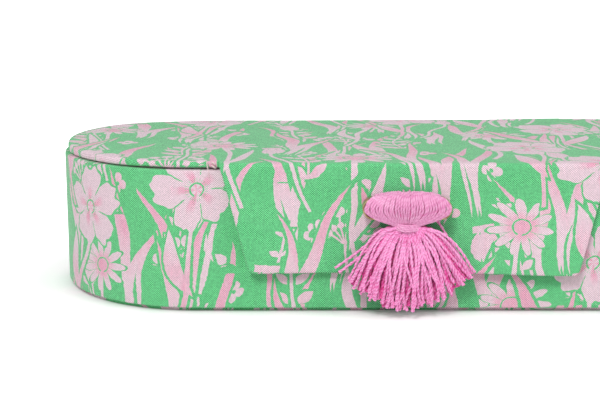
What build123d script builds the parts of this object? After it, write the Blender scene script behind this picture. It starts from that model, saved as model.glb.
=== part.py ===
from build123d import *
import math
import os

# A cloth-covered keepsake box with an obround plan, a hinged lid board, a hanging
# front flap closed by hidden magnets, and a cotton tassel sewn to the flap.
# Units are millimetres.  +X is the length, +Y the back, +Z up.  The origin lies on
# the table, under the middle of the box.

# Overall size
box_length = 195.5
box_depth = 81.0
rim_height = 38.6

# Cloth, card and glue
cloth = 0.3
glue = 0.05
fit_gap = 0.1
run_gap = 0.3
cloth_round = 0.25

# Foot panel under the box
foot_card = 0.4
foot_inset = 2.0

# Wall
wall_card = 2.0
wall_turn_in = 10.0
wall_turn_under = 8.0

# Floor and lining
floor_card = 2.0
lining_thick = 1.0
lining_drop = 1.2
pad_thick = 2.0
pad_round = 0.8

# Lid
lid_inset = 0.95
lid_card = 1.1
lid_turn_in = 12.0
lid_lining_thick = 1.05
lid_lining_play = 0.5

# Back hinge cloth
back_strip_length = 108.0
back_strip_height = 25.0
back_strip_corner = 2.0

# Front flap
flap_top_width = 101.4
flap_foot_width = 86.4
flap_foot_height = 11.4
flap_card = 1.2
flap_turn_in = 7.0
flap_corner = 2.0

# Magnets
magnet_size = 10.0
magnet_thick = 0.8
magnet_spacing = 56.0
magnet_height = 23.0

# Tassel ring
tassel_offset = -2.65
ring_width = 22.4
ring_height = 6.4
ring_wall = 0.8
ring_depth = 3.3
ring_level = 29.6

# Wound tassel head
head_thread = 1.1
head_pitch = 1.9
head_turns = 10
head_lift = 0.7
head_pad_thick = 0.85
head_pad_rise = 0.1
head_pad_bevel = 0.6
head_front_bend = 1.5
head_back_bend = 0.8

# Tassel neck and its binding
neck_width = 6.6
neck_depth = 3.2
neck_height = 3.1
neck_corner = 1.2
bind_thread = 0.45
bind_pitch = 0.88
bind_turns = 3
bind_bend = 1.3
bind_top_drop = 0.3

# Tassel skirt
skirt_reach = 16.6
skirt_foot = 2.6
skirt_lift = 6.6
skirt_ragged = 0.9
skirt_root_depth = 2.4
skirt_foot_depth = 4.6
skirt_bulge = 0.3
strand_thread = 0.6
strand_sink = 0.3
strand_rows = 5
strands_per_row = 9

# Tacking stitch that holds the head to the flap
stitch_thread = 0.4
stitch_width = 1.8
stitch_reach = 3.0
stitch_bend = 0.5

# How far a least-gap measure looks along a thread, and the step it takes
measure_step = 0.35
measure_skip = 2.8

# Levels, from the table up
foot_top = cloth + glue + foot_card + glue + cloth
board_low = foot_top + cloth + glue
board_high = rim_height - cloth - glue
floor_top = board_low + floor_card
lining_low = floor_top + glue
lining_high = rim_height - lining_drop
pad_low = floor_top + glue
lid_low = rim_height + run_gap
lid_top = lid_low + cloth + glue + lid_card + glue + cloth
lid_card_low = lid_low + cloth + glue
flap_top = lid_top - cloth - run_gap

# Insets of the wall layers from the outer face of the box
wall_out = cloth + glue
wall_in = wall_out + wall_card
turn_face = wall_in + glue
turn_back = turn_face + cloth
lining_out = turn_back + glue
lining_in = lining_out + lining_thick

# Distances of the flap layers in front of the box's centre plane
flap_back = box_depth / 2 + run_gap
flap_face = flap_back + cloth + glue + flap_card + glue + cloth
flap_card_back = flap_back + cloth + glue
hinge_face = box_depth / 2 + glue + cloth

# Distances of the tassel pieces in front of the box's centre plane
thread_back = flap_face + run_gap + head_thread / 2
ring_back = thread_back + head_thread / 2 + fit_gap
ring_front = ring_back + ring_depth
pad_front = ring_front + glue + head_pad_thick
thread_front = pad_front + fit_gap + head_thread / 2
tassel_mid = (thread_back + thread_front) / 2
head_half = ring_height / 2 + head_lift
neck_top = ring_level - head_half - head_thread / 2 - glue
neck_low = neck_top - neck_height


def box_outline(inset, mode=Mode.ADD):
    """The obround plan of the box, drawn in by an inset."""
    SlotOverall(box_length - 2 * inset, box_depth - 2 * inset, mode=mode)


def slab(low, high, inset):
    """A full obround layer between two levels."""
    with BuildSketch(Plane.XY.offset(low)) as layer:
        box_outline(inset)
    extrude(layer.sketch, amount=high - low)


def ring_layer(low, high, outer_inset, inner_inset):
    """An obround band between two levels."""
    with BuildSketch(Plane.XY.offset(low)) as layer:
        box_outline(outer_inset)
        box_outline(inner_inset, Mode.SUBTRACT)
    extrude(layer.sketch, amount=high - low)


def flap_outline(inset, mode=Mode.ADD):
    """The flap's trapezoid with its two lower corners rounded, drawn in by an inset."""
    with BuildSketch(mode=Mode.PRIVATE) as shape:
        with BuildLine():
            Polyline(
                (-flap_top_width / 2, flap_top),
                (-flap_foot_width / 2, flap_foot_height),
                (flap_foot_width / 2, flap_foot_height),
                (flap_top_width / 2, flap_top),
                close=True,
            )
        make_face()
        fillet(shape.vertices().group_by(Axis.Y)[0], radius=flap_corner)
        if inset > 0:
            offset(amount=-inset, kind=Kind.INTERSECTION)
    add(shape.sketch, mode=mode)


def flap_layer(back, front, inset):
    """A full layer of the flap between two distances in front of the box."""
    with BuildSketch(Plane.XZ.offset(back)) as layer:
        flap_outline(inset)
    extrude(layer.sketch, amount=front - back)


def flap_frame(back, front, outer_inset, inner_inset):
    """A frame along the flap's edge between two distances in front of the box."""
    with BuildSketch(Plane.XZ.offset(back)) as layer:
        flap_outline(outer_inset)
        flap_outline(inner_inset, Mode.SUBTRACT)
    extrude(layer.sketch, amount=front - back)


def magnet_places(distance, size, depth, mode=Mode.ADD):
    """Two discs side by side, from a distance in front of the box forwards."""
    with BuildSketch(Plane.XZ.offset(distance)) as discs:
        with Locations((0, magnet_height)):
            with GridLocations(magnet_spacing, 0, 2, 1):
                Circle(size / 2)
    extrude(discs.sketch, amount=depth, mode=mode)


def thread_along(corners, bends, size):
    """A three-sided thread swept along straight runs and tangent arcs."""
    with BuildLine() as path:
        FilletPolyline(*corners, radius=bends)
    thread = path.wires()[0]
    with BuildSketch(Plane(origin=thread @ 0, x_dir=(0, 0, 1), z_dir=thread % 0)) as section:
        RegularPolygon(size / 2, 3)
    sweep(section.sketch, path=thread)
    return thread


def least_gap(path, size):
    """The smallest gap between a wound thread's turns, measured on points."""
    count = int(path.length / measure_step)
    spots = [tuple(path @ (n / count)) for n in range(count + 1)]
    skip = int(measure_skip / measure_step)
    nearest = min(
        math.dist(spot, other)
        for n, spot in enumerate(spots)
        for other in spots[n + skip:]
    )
    return nearest - size


def head_height(across):
    """Half the height of the wound head, at a distance from its middle."""
    straight = (ring_width - ring_height) / 2
    beyond = max(abs(across) - straight, 0)
    return math.sqrt(head_half ** 2 - beyond ** 2)


# Foot panel: a thin card wrapped in cloth, the lowest piece of the box
with BuildPart() as base_panel_card:
    slab(cloth + glue, foot_top - cloth - glue, foot_inset + cloth + glue)
base_panel_card.part.label = "base_panel_card"

with BuildPart() as base_panel_cover:
    slab(0, cloth, foot_inset)
    ring_layer(0, foot_top, foot_inset, foot_inset + cloth)
    ring_layer(foot_top - cloth, foot_top, foot_inset, foot_inset + wall_turn_under)
    foot_edges = base_panel_cover.faces().sort_by(Axis.Z)[0].outer_wire().edges()
    chamfer(foot_edges, length=cloth_round)
base_panel_cover.part.label = "base_panel_cover"

# Wall: a bent strip of board with two magnets let into its front
with BuildPart() as wall_board:
    ring_layer(board_low, board_high, wall_out, wall_in)
    wall_pocket = box_depth / 2 - wall_out - magnet_thick - glue
    magnet_places(wall_pocket, magnet_size + 2 * fit_gap, 2 * magnet_thick, Mode.SUBTRACT)
wall_board.part.label = "wall_board"

with BuildPart() as wall_magnets:
    magnet_places(wall_pocket + glue, magnet_size, magnet_thick)
wall_magnets.part.label = "wall_magnets"

# Wall cloth: outside, over the rim, down inside the rim, and under the foot
with BuildPart() as wall_cover:
    ring_layer(foot_top, rim_height, 0, cloth)
    ring_layer(rim_height - cloth, rim_height, 0, turn_back)
    ring_layer(rim_height - wall_turn_in, rim_height, turn_face, turn_back)
    ring_layer(foot_top, foot_top + cloth, 0, wall_turn_under)
    rim_edges = wall_cover.faces().sort_by(Axis.Z)[-1].outer_wire().edges()
    chamfer(rim_edges, length=cloth_round)
wall_cover.part.label = "wall_cover"

# Floor board inside the wall, lining round the inside, and a soft pad on the floor
with BuildPart() as floor_board:
    slab(board_low, floor_top, wall_in + fit_gap)
floor_board.part.label = "floor_board"

with BuildPart() as wall_lining:
    ring_layer(lining_low, lining_high, lining_out, lining_in)
wall_lining.part.label = "wall_lining"

with BuildPart() as floor_pad:
    slab(pad_low, pad_low + pad_thick, lining_in + fit_gap)
    chamfer(floor_pad.faces().sort_by(Axis.Z)[-1].edges(), length=pad_round)
floor_pad.part.label = "floor_pad"

# Back hinge: a cloth strip glued to the wall up to the crease
with BuildPart() as back_hinge_cloth:
    with BuildSketch(Plane.XZ.offset(-hinge_face)):
        with Locations((0, rim_height - back_strip_height / 2)):
            Rectangle(back_strip_length, back_strip_height)
    extrude(amount=cloth)
    lower_corners = back_hinge_cloth.edges().filter_by(Axis.Y).group_by(Axis.Z)[0]
    fillet(lower_corners, radius=back_strip_corner)
back_hinge_cloth.part.label = "back_hinge_cloth"

# The same strip above the crease, where it rises to the lid's back edge
with BuildPart() as lid_hinge_cloth:
    with BuildSketch(Plane.YZ.offset(-back_strip_length / 2)):
        with BuildLine():
            Polyline(
                (box_depth / 2 - lid_inset, lid_top),
                (hinge_face, lid_low),
                (hinge_face - cloth, lid_low),
                (box_depth / 2 - lid_inset, lid_top - 2 * cloth),
                close=True,
            )
        make_face()
    extrude(amount=back_strip_length)
lid_hinge_cloth.part.label = "lid_hinge_cloth"

# Lid: a thin board wrapped in cloth, with a lining panel that drops inside the rim
with BuildPart() as lid_board:
    slab(lid_card_low, lid_card_low + lid_card, lid_inset + cloth + glue)
lid_board.part.label = "lid_board"

with BuildPart() as lid_cover:
    slab(lid_top - cloth, lid_top, lid_inset)
    ring_layer(lid_low, lid_top, lid_inset, lid_inset + cloth)
    ring_layer(lid_low, lid_low + cloth, lid_inset, lid_inset + lid_turn_in)
    lid_edges = lid_cover.faces().sort_by(Axis.Z)[0].outer_wire().edges()
    chamfer(lid_edges, length=cloth_round)
lid_cover.part.label = "lid_cover"

with BuildPart() as lid_lining:
    slab(lid_low - lid_lining_thick, lid_low, turn_back + lid_lining_play)
lid_lining.part.label = "lid_lining"

# Flap hinge: the lid's cloth runs on from its front edge to the flap's crease
with BuildPart() as flap_hinge_cloth:
    with BuildSketch(Plane.XZ.offset(box_depth / 2 - lid_inset)):
        with Locations((0, lid_top - cloth / 2)):
            Rectangle(flap_top_width, cloth)
    extrude(amount=flap_face - box_depth / 2 + lid_inset)
    crease = flap_hinge_cloth.edges().filter_by(Axis.X).group_by(Axis.Y)[0].sort_by(Axis.Z)[-1]
    fillet(crease, radius=cloth_round)
flap_hinge_cloth.part.label = "flap_hinge_cloth"

# Flap: a trapezoid board wrapped in cloth, with two magnets let into its back
with BuildPart() as flap_board:
    flap_layer(flap_card_back, flap_card_back + flap_card, cloth + glue)
    pocket_depth = magnet_thick + glue
    magnet_places(flap_card_back, magnet_size + 2 * fit_gap, pocket_depth, Mode.SUBTRACT)
flap_board.part.label = "flap_board"

with BuildPart() as flap_magnets:
    magnet_places(flap_card_back, magnet_size, magnet_thick)
flap_magnets.part.label = "flap_magnets"

with BuildPart() as flap_cover:
    flap_layer(flap_face - cloth, flap_face, 0)
    flap_frame(flap_back, flap_face, 0, cloth)
    flap_frame(flap_back, flap_back + cloth, 0, flap_turn_in)
    face_edges = flap_cover.faces().sort_by(Axis.Y)[0].edges()
    chamfer(face_edges, length=cloth_round)
flap_cover.part.label = "flap_cover"

with BuildPart() as flap_lining:
    flap_layer(flap_back, flap_back + cloth, flap_turn_in + fit_gap)
flap_lining.part.label = "flap_lining"

# Tassel ring: an oval brass band that stands on its edge in front of the flap
with BuildPart() as tassel_ring:
    with BuildSketch(Plane.XZ.offset(ring_back)):
        with Locations((tassel_offset, ring_level)):
            SlotOverall(ring_width, ring_height)
            inner_width = ring_width - 2 * ring_wall
            SlotOverall(inner_width, ring_height - 2 * ring_wall, mode=Mode.SUBTRACT)
    extrude(amount=ring_depth)
tassel_ring.part.label = "tassel_ring"

# Tassel head: a packed core that fills the ring and swells in front of it
with BuildPart() as tassel_head_core:
    with BuildSketch(Plane.XZ.offset(ring_back)):
        with Locations((tassel_offset, ring_level)):
            plug_inset = 2 * (ring_wall + glue)
            SlotOverall(ring_width - plug_inset, ring_height - plug_inset)
    extrude(amount=ring_depth + glue)
    with BuildSketch(Plane.XZ.offset(ring_front + glue)):
        with Locations((tassel_offset, ring_level)):
            pad_grow = 2 * head_pad_rise
            SlotOverall(ring_width - 2 * ring_wall, ring_height + pad_grow)
    extrude(amount=head_pad_thick)
    core_face = tassel_head_core.faces().sort_by(Axis.Y)[0]
    chamfer(core_face.edges(), length=head_pad_bevel)
tassel_head_core.part.label = "tassel_head_core"

# Head winding: one thread wound round ring and core, front runs upright and back
# runs stepping on by one pitch
head_corners = []
head_bends = []
for turn in range(head_turns):
    across = (turn - (head_turns - 1) / 2) * head_pitch
    onward = across + head_pitch
    place = tassel_offset + across
    high = ring_level + head_height(across)
    low = ring_level - head_height(across)
    if turn == 0:
        head_corners.append((place, -tassel_mid, high))
    head_corners.append((place, -thread_front, high))
    head_corners.append((place, -thread_front, low))
    head_bends += [head_front_bend, head_front_bend]
    if turn < head_turns - 1:
        next_high = ring_level + head_height(onward)
        head_corners.append((place, -thread_back, low))
        head_corners.append((tassel_offset + onward, -thread_back, next_high))
        head_bends += [head_back_bend, head_back_bend]
    else:
        head_corners.append((place, -tassel_mid, low))

with BuildPart() as tassel_head_winding:
    head_path = thread_along(head_corners, head_bends, head_thread)
tassel_head_winding.part.label = "tassel_head_winding"
print("head winding, least gap", round(least_gap(head_path, head_thread), 3))

# Neck binding: one thread wound round the neck below the head
bind_half_width = neck_width / 2 + fit_gap + bind_thread / 2
bind_half_depth = neck_depth / 2 + fit_gap + bind_thread / 2
bind_corners = [(tassel_offset - bind_half_width, -tassel_mid, neck_top - bind_top_drop)]
for turn in range(bind_turns):
    level = neck_top - bind_top_drop - turn * bind_pitch
    left = tassel_offset - bind_half_width
    right = tassel_offset + bind_half_width
    front = -tassel_mid - bind_half_depth
    back = -tassel_mid + bind_half_depth
    bind_corners += [(left, front, level), (right, front, level)]
    if turn < bind_turns - 1:
        bind_corners += [(right, back, level), (left, back, level - bind_pitch)]
    else:
        bind_corners.append((right, -tassel_mid, level))

with BuildPart() as tassel_neck_binding:
    bind_path = thread_along(bind_corners, bind_bend, bind_thread)
tassel_neck_binding.part.label = "tassel_neck_binding"
print("neck binding, least gap", round(least_gap(bind_path, bind_thread), 3))

# Skirt: the neck's core with strands that fan out and hang down, none crossing
level_shares = (0, 0.1, 0.42, 1)
spread_shares = (0, 0.36, 0.78, 1)
strand_wave_share = 2.4
row_wave_share = 1.7


def strand_points(side_share, row_share, ragged_share):
    """Points down one strand, from inside the neck to its cut end."""
    root_high = neck_low + strand_sink
    tip = skirt_foot + skirt_lift * side_share ** 2 + skirt_ragged * ragged_share
    root_side = side_share * (neck_width / 2 - strand_thread)
    points = []
    for level_share, spread_share in zip(level_shares, spread_shares):
        out = root_side + (side_share * skirt_reach - root_side) * spread_share
        depth = skirt_root_depth + (skirt_foot_depth - skirt_root_depth) * spread_share
        forward = tassel_mid + row_share * depth / 2 + skirt_bulge * spread_share
        high = root_high + (tip - root_high) * level_share
        points.append(Vector(tassel_offset + out, -forward, high))
    return points


def strand_along(points):
    """One strand of even thickness along straight runs, kept apart from the part."""
    with BuildLine() as path:
        Polyline(*points)
    with BuildSketch(Plane(origin=points[0], x_dir=(0, 1, 0), z_dir=path.line % 0)) as section:
        Rectangle(strand_thread, strand_thread)
    return sweep(
        section.sketch, path=path.line, transition=Transition.RIGHT, mode=Mode.PRIVATE
    )


with BuildPart() as tassel_skirt:
    with BuildSketch(Plane.XY.offset(neck_low)):
        with Locations((tassel_offset, -tassel_mid)):
            RectangleRounded(neck_width, neck_depth, neck_corner)
    extrude(amount=neck_height)
    strands = []
    for row in range(strand_rows):
        row_share = 2 * row / (strand_rows - 1) - 1
        for strand in range(strands_per_row):
            stagger_share = (row % 2 - 0.5) / strands_per_row
            side_share = 2 * strand / (strands_per_row - 1) - 1 + stagger_share
            ragged_share = math.sin(strand * strand_wave_share + row * row_wave_share)
            points = strand_points(side_share, row_share, ragged_share)
            strands.append(strand_along(points))
    add(strands)
tassel_skirt.part.label = "tassel_skirt"

# Tacking stitch: one thread from the flap over the head's top and back
stitch_level = ring_level + head_half + head_thread / 2 + glue + stitch_thread / 2
stitch_start = flap_face + run_gap
stitch_corners = [
    (tassel_offset - stitch_width / 2, -stitch_start, stitch_level),
    (tassel_offset - stitch_width / 2, -stitch_start - stitch_reach, stitch_level),
    (tassel_offset + stitch_width / 2, -stitch_start - stitch_reach, stitch_level),
    (tassel_offset + stitch_width / 2, -stitch_start, stitch_level),
]
with BuildPart() as tassel_stitch:
    thread_along(stitch_corners, stitch_bend, stitch_thread)
tassel_stitch.part.label = "tassel_stitch"

# The joint axes: the lid turns at the back crease, the flap at its front crease, and
# the tassel lifts on its stitch
print("lid axis", hinge_face + run_gap / 2, rim_height + run_gap / 2)
print("flap axis", -flap_face, lid_top)
print("tassel axis", -flap_face - run_gap / 2, stitch_level + stitch_thread)

pieces = [
    base_panel_card,
    base_panel_cover,
    wall_board,
    wall_magnets,
    wall_cover,
    floor_board,
    wall_lining,
    floor_pad,
    back_hinge_cloth,
    lid_hinge_cloth,
    lid_board,
    lid_cover,
    lid_lining,
    flap_hinge_cloth,
    flap_board,
    flap_magnets,
    flap_cover,
    flap_lining,
    tassel_ring,
    tassel_head_core,
    tassel_head_winding,
    tassel_neck_binding,
    tassel_skirt,
    tassel_stitch,
]

os.makedirs("parts", exist_ok=True)
for piece in pieces:
    export_step(piece.part, f"parts/{piece.part.label}.step")
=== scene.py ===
import math
import random

import bmesh
import bpy
from mathutils import Matrix, Vector, noise


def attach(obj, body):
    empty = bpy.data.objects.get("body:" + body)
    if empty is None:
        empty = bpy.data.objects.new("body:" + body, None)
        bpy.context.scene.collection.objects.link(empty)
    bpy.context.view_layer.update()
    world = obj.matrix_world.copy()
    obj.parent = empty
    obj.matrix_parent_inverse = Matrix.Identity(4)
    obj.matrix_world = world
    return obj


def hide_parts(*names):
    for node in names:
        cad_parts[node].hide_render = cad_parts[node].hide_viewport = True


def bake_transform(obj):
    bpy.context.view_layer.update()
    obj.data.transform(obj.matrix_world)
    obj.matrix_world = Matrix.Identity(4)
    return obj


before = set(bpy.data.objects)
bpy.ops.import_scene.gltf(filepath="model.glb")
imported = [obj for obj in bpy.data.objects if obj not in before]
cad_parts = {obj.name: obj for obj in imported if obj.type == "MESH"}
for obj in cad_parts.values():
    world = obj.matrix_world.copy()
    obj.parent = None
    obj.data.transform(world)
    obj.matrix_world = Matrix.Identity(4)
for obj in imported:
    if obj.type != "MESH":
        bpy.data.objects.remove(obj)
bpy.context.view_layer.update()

# A cloth-covered keepsake box with a hinged lid, a hanging flap and a sewn tassel.
# Sizes are millimetres along the frame's axes, and MM turns them into Blender's metres.
MM = 0.001
CLOTH_MAP = "cloth_mm"
THREAD_MAP = "thread_mm"
MERGE = 0.004
ROUND_STEPS = 5
CURVE_STEPS = 10
STRIP_STEPS = 20
THREAD_SPREAD = (0.94, 1.06)
HARD_EDGE = math.radians(60)

# The box, layer by layer: insets are measured inwards from the outer cloth
HALF_RUN = 57.25
HALF_DEPTH = 40.5
SIDE_STEPS = 36
END_STEPS = 60
CLOTH = 0.3
FOOT_TOP = 1.1
FOOT_INSET = 2.0
FOOT_SHIFT = (-0.9, 0.1, 0)
FOOT_ROUND = 0.42
RIM = 38.42
RIM_ROUND = 0.58
WALL_FOOT_ROUND = 0.5
WALL_FOOT = 1.2
WALL_TURN_IN = 10.0
WALL_TURN_UNDER = 8.0
WALL_INNER = 2.7
WALL_ROW = 6.0
LINING_OUTER = 2.75
LINING_INNER = 3.75
LINING_LOW = 3.5
LINING_HIGH = 37.4
LINING_ROUNDS = (0.35, 0.2)
PAD_INSET = 3.85
PAD_LOW = 3.5
PAD_TOP = 5.5
PAD_ROUND = 0.85
PAD_LOOPS = (26, 15, 8)
LID_INSET = 0.95
LID_LOW = 38.97
LID_TOP = 40.7
LID_LOOPS = (30, 20, 12, 6)
LID_EDGE_ROUND = 0.65
LID_UNDER_ROUND = 0.6
LID_LINING_INSET = 3.2
LID_LINING_HIGH = LID_LOW + 0.05
LID_LINING_LOW = 37.85
LID_LINING_ROUNDS = (0.1, 0.4)

# How far the print is shifted along and up the wall's cloth, and over the foot's
WALL_PRINT_SHIFT = (0, -4)
FOOT_PRINT_SHIFT = (31, 57)

# The layers of noise that make the lid's edge, the pad and the flap uneven
LID_SEED, PAD_SEED, FLAP_SEED = 3, 9, 5

# How uneven the glued cloth and boards are: depths, and the places between which they come in.
# The bulge's and the waver's shares are of the pucker's scale, and the start's is of the
# lid's thickness.
WALL_UNEVEN = 0.06
WALL_UNEVEN_SCALE = 0.11
RIM_DIP = 0.1
RIM_DIP_FROM, RIM_DIP_TO = 86, 96
RIM_DIP_DEPTH = 1
END_DROOP = 0.26
DROOP_RUN = 32
TIP_DROOP = 0.3
TIP_DROOP_FROM, TIP_DROOP_TO = 88, 97
SAG = 0.22
SAG_MIDDLE, SAG_SPREAD = -40, 38
LEFT_LIFT = 0.5
LEFT_LIFT_FROM, LEFT_LIFT_TO = 70, 90
LEFT_LIFT_FRONT, LEFT_LIFT_BACK = -25, 8
RIGHT_LIFT = 0.45
RIGHT_LIFT_FROM, RIGHT_LIFT_TO = 20, 60
LIFT_FRONT, LIFT_BACK = -5, 35
PUCKER = 0.1
PUCKER_SCALE = 0.55
PUCKER_RUN = 12
EDGE_BULGE = 0.05
EDGE_BULGE_SHARE = 0.2
EDGE_WAVER = 0.12
EDGE_WAVER_SHARE = 0.7
EDGE_ZONE = 3
EDGE_START_SHARE = 0.01
PAD_CROWN = 0.16
PAD_CROWN_RUN = 14
PAD_UNEVEN = 0.05
PAD_UNEVEN_SCALE = 0.07
PAD_SINK = 0.06
PAD_FLAT_FOOT = 0.5

# The flap and the cloth over its crease
FLAP_HALF_TOP = 50.7
FLAP_HALF_FOOT = 43.2
FLAP_LOW = 11.4
FLAP_HIGH = 40.1
FLAP_BACK = 40.8
FLAP_FACE = 42.7
FLAP_EDGE_ROUND = 0.6
FLAP_TOP_ROUND = 1.3
FLAP_CORNER = 1.6
FLAP_UNEVEN = 0.12
FLAP_UNEVEN_SCALE = 0.045
FLAP_PRINT_SHARE = 0.6
FLAP_LEFT_LIFT = 1.2
FLAP_RIGHT_LIFT = 1.9
FLAP_RIGHT_DROP = 0.45
FLAP_TURN_IN = 7.0
CARD_INSET = 1.0
CARD_UNDER = 0.35
CARD_ROUNDS = (0.1, 0.3)
PANEL_PROUD = 0.12
PANEL_SINK = 0.2
PANEL_ROUNDS = (0.1, 0.1)
MAGNET_SPREAD = 28.0
MAGNET_LEVEL = 23.0
MAGNET_SIZE = 10.0
MAGNET_THICK = 0.8
MAGNET_EDGE = 0.12
CREASE_ROUND = 1.1
CREASE_START = 38.6
CREASE_END = 37.9
CREASE_LIFT = 0.02
# How far the cloth travels from the lid's centre line, over the crease, to the flap's top
CREASE_REACH = FLAP_FACE - (2 - math.pi / 2) * CREASE_ROUND + (LID_TOP - FLAP_HIGH)

# The hinge cloth at the back
BACK_HALF = 54.0
BACK_LOW = 13.6
BACK_FACE = 40.85
BACK_START = 39.0
BACK_ROUND = 1.15
BACK_CORNER = 2.0
BACK_LEVELS = (37.8, 31, 23)
BACK_CORNER_STEPS = (1.4, 0.8, 0.35, 0.1)

random.seed(11)


# Meshes

def rounded_path(corners, radii):
    """Places along a flat path whose inner corners are rounded, one radius each. A place
    is its two coordinates and the length of path before it."""
    points = [Vector(corners[0])]
    for before, corner, after, radius in zip(corners, corners[1:], corners[2:], radii):
        corner = Vector(corner)
        if radius == 0:
            points.append(corner)
            continue
        back = (Vector(before) - corner).normalized()
        on = (Vector(after) - corner).normalized()
        half = back.angle(on) / 2
        reach = radius / math.tan(half)
        middle = corner + (back + on).normalized() * (radius / math.sin(half))
        start = corner + back * reach - middle
        finish = corner + on * reach - middle
        for step in range(ROUND_STEPS + 1):
            points.append(middle + start.slerp(finish, step / ROUND_STEPS) * radius)
    points.append(Vector(corners[-1]))
    run = 0
    places = [(points[0].x, points[0].y, 0)]
    for before, point in zip(points, points[1:]):
        run += (point - before).length
        places.append((point.x, point.y, run))
    return places


def obround_stations(half_run, radius, side_steps, end_steps):
    """Places round an obround: x, y, outward x and y, and the way from the front's middle."""
    arc = math.pi * radius
    stations = []

    def add_side(facing, start, steps, way):
        for step in range(steps):
            along = half_run * step / side_steps
            stations.append((facing * (start - along), radius * facing, 0, facing, way + along))

    def add_end(side, first_angle, way):
        for step in range(end_steps):
            angle = math.pi * (first_angle + step / end_steps)
            out = (math.cos(angle), math.sin(angle))
            place = (side * half_run + radius * out[0], radius * out[1])
            stations.append((*place, *out, way + arc * step / end_steps))

    add_side(1, 0, side_steps, -2 * half_run - arc)
    add_end(-1, 0.5, -half_run - arc)
    add_side(-1, half_run, 2 * side_steps, -half_run)
    add_end(1, 1.5, half_run)
    add_side(1, half_run, side_steps, half_run + arc)
    return stations


def mesh_piece(bm, name, finish):
    """Turns a finished bmesh into a smooth-shaded piece. A finish is a material and its slot."""
    material, slot = finish
    bmesh.ops.recalc_face_normals(bm, faces=bm.faces)
    for face in bm.faces:
        face.smooth = True
    mesh = bpy.data.meshes.new(name)
    bm.to_mesh(mesh)
    bm.free()
    mesh.set_sharp_from_angle(angle=HARD_EDGE)
    piece = bpy.data.objects.new(name, mesh)
    bpy.context.collection.objects.link(piece)
    mesh.materials.append(material)
    return piece


def skin(name, stations, rings, place, finish, closed=False, shape=None, shift=(0, 0),
         map_name=CLOTH_MAP):
    """A surface round the stations, one loop for each (inset, level, run) in rings. place
    gives the spot on the cloth, shift moves it, and shape moves each point."""
    bm = bmesh.new()
    layer = bm.loops.layers.uv.new(map_name)
    whole_way = 2 * -stations[0][4]
    rows = []
    for inset, level, run in rings:
        row = []
        for x, y, out_x, out_y, along in stations:
            spot = Vector((x - out_x * inset, y - out_y * inset, level))
            if shape:
                spot = shape(spot, Vector((out_x, out_y, 0)), inset)
            row.append(bm.verts.new(spot * MM))
        rows.append(row)
    last = len(rows) if closed else len(rows) - 1
    for low in range(last):
        high = (low + 1) % len(rows)
        for here in range(len(stations)):
            there = (here + 1) % len(stations)
            corners = ((low, here), (low, there), (high, there), (high, here))
            face = bm.faces.new([rows[ring][spot] for ring, spot in corners])
            for loop, (ring, spot) in zip(face.loops, corners):
                around = whole_way if spot == 0 and here != 0 else 0
                u, v = place(stations[spot], around, rings[ring])
                loop[layer].uv = (u + shift[0], v + shift[1])
    bmesh.ops.remove_doubles(bm, verts=bm.verts, dist=MERGE * MM)
    return mesh_piece(bm, name, finish)


def wrapped_place(station, around, ring):
    """The spot on cloth that goes round the outline and up."""
    return station[4] + around, ring[2]


def flat_place(station, around, ring):
    """The spot on cloth that lies flat from the centre line and folds down over the edge."""
    x, y, out_x, out_y, along = station
    inset = HALF_DEPTH - ring[2]
    return x - out_x * inset, y - out_y * inset


def slab_faces(bm, layer, front, behind):
    """Faces over two grids of (vertex, spot on the cloth), and along their four sides."""
    quads = []
    for rows in (front, behind):
        for low, high in zip(rows, rows[1:]):
            for left in range(len(low) - 1):
                quads.append((low[left], low[left + 1], high[left + 1], high[left]))
    for end in (0, -1):
        for left in range(len(front[0]) - 1):
            quads.append((front[end][left], front[end][left + 1],
                          behind[end][left + 1], behind[end][left]))
        for low in range(len(front) - 1):
            quads.append((front[low][end], front[low + 1][end],
                          behind[low + 1][end], behind[low][end]))
    for quad in quads:
        face = bm.faces.new([vert for vert, spot in quad])
        for loop, (vert, spot) in zip(face.loops, quad):
            loop[layer].uv = spot


def strip(name, path, place, finish, thickness=CLOTH, rise=lambda x, y, z: 0):
    """A strip of cloth with thickness. path holds (y, z, run, half width), place gives the
    spot on the cloth, and rise lifts each point."""
    bm = bmesh.new()
    layer = bm.loops.layers.uv.new(CLOTH_MAP)
    sides = []
    for lift in (0, -thickness):
        rows = []
        for index, (y, z, run, half_width) in enumerate(path):
            before = path[max(index - 1, 0)]
            after = path[min(index + 1, len(path) - 1)]
            way = Vector((0, after[0] - before[0], after[1] - before[1])).normalized()
            out = way.cross(Vector((1, 0, 0)))
            row = []
            for step in range(-STRIP_STEPS, STRIP_STEPS + 1):
                x = step / STRIP_STEPS * half_width
                spot = Vector((x, y, z + rise(x, y, z))) + out * lift
                row.append((bm.verts.new(spot * MM), place(x, run)))
            rows.append(row)
        sides.append(rows)
    slab_faces(bm, layer, *sides)
    return mesh_piece(bm, name, finish)


def smooth_line(points, step):
    """Evenly spaced places on a smooth line through the points."""
    dense = []
    padded = [2 * points[0] - points[1], *points, 2 * points[-1] - points[-2]]
    for a, b, c, d in zip(padded, padded[1:], padded[2:], padded[3:]):
        for count in range(CURVE_STEPS):
            t = count / CURVE_STEPS
            dense.append(0.5 * (
                2 * b + (c - a) * t + (2 * a - 5 * b + 4 * c - d) * t ** 2
                + (3 * b - a - 3 * c + d) * t ** 3))
    dense.append(points[-1])
    length = sum((q - p).length for p, q in zip(dense, dense[1:]))
    count = max(round(length / step), 2)
    gap = length / count
    line, walked, wanted = [dense[0]], 0, gap
    for p, q in zip(dense, dense[1:]):
        part = (q - p).length
        while wanted <= walked + part and len(line) < count:
            line.append(p.lerp(q, (wanted - walked) / part))
            wanted += gap
        walked += part
    line.append(dense[-1])
    return line


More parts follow.
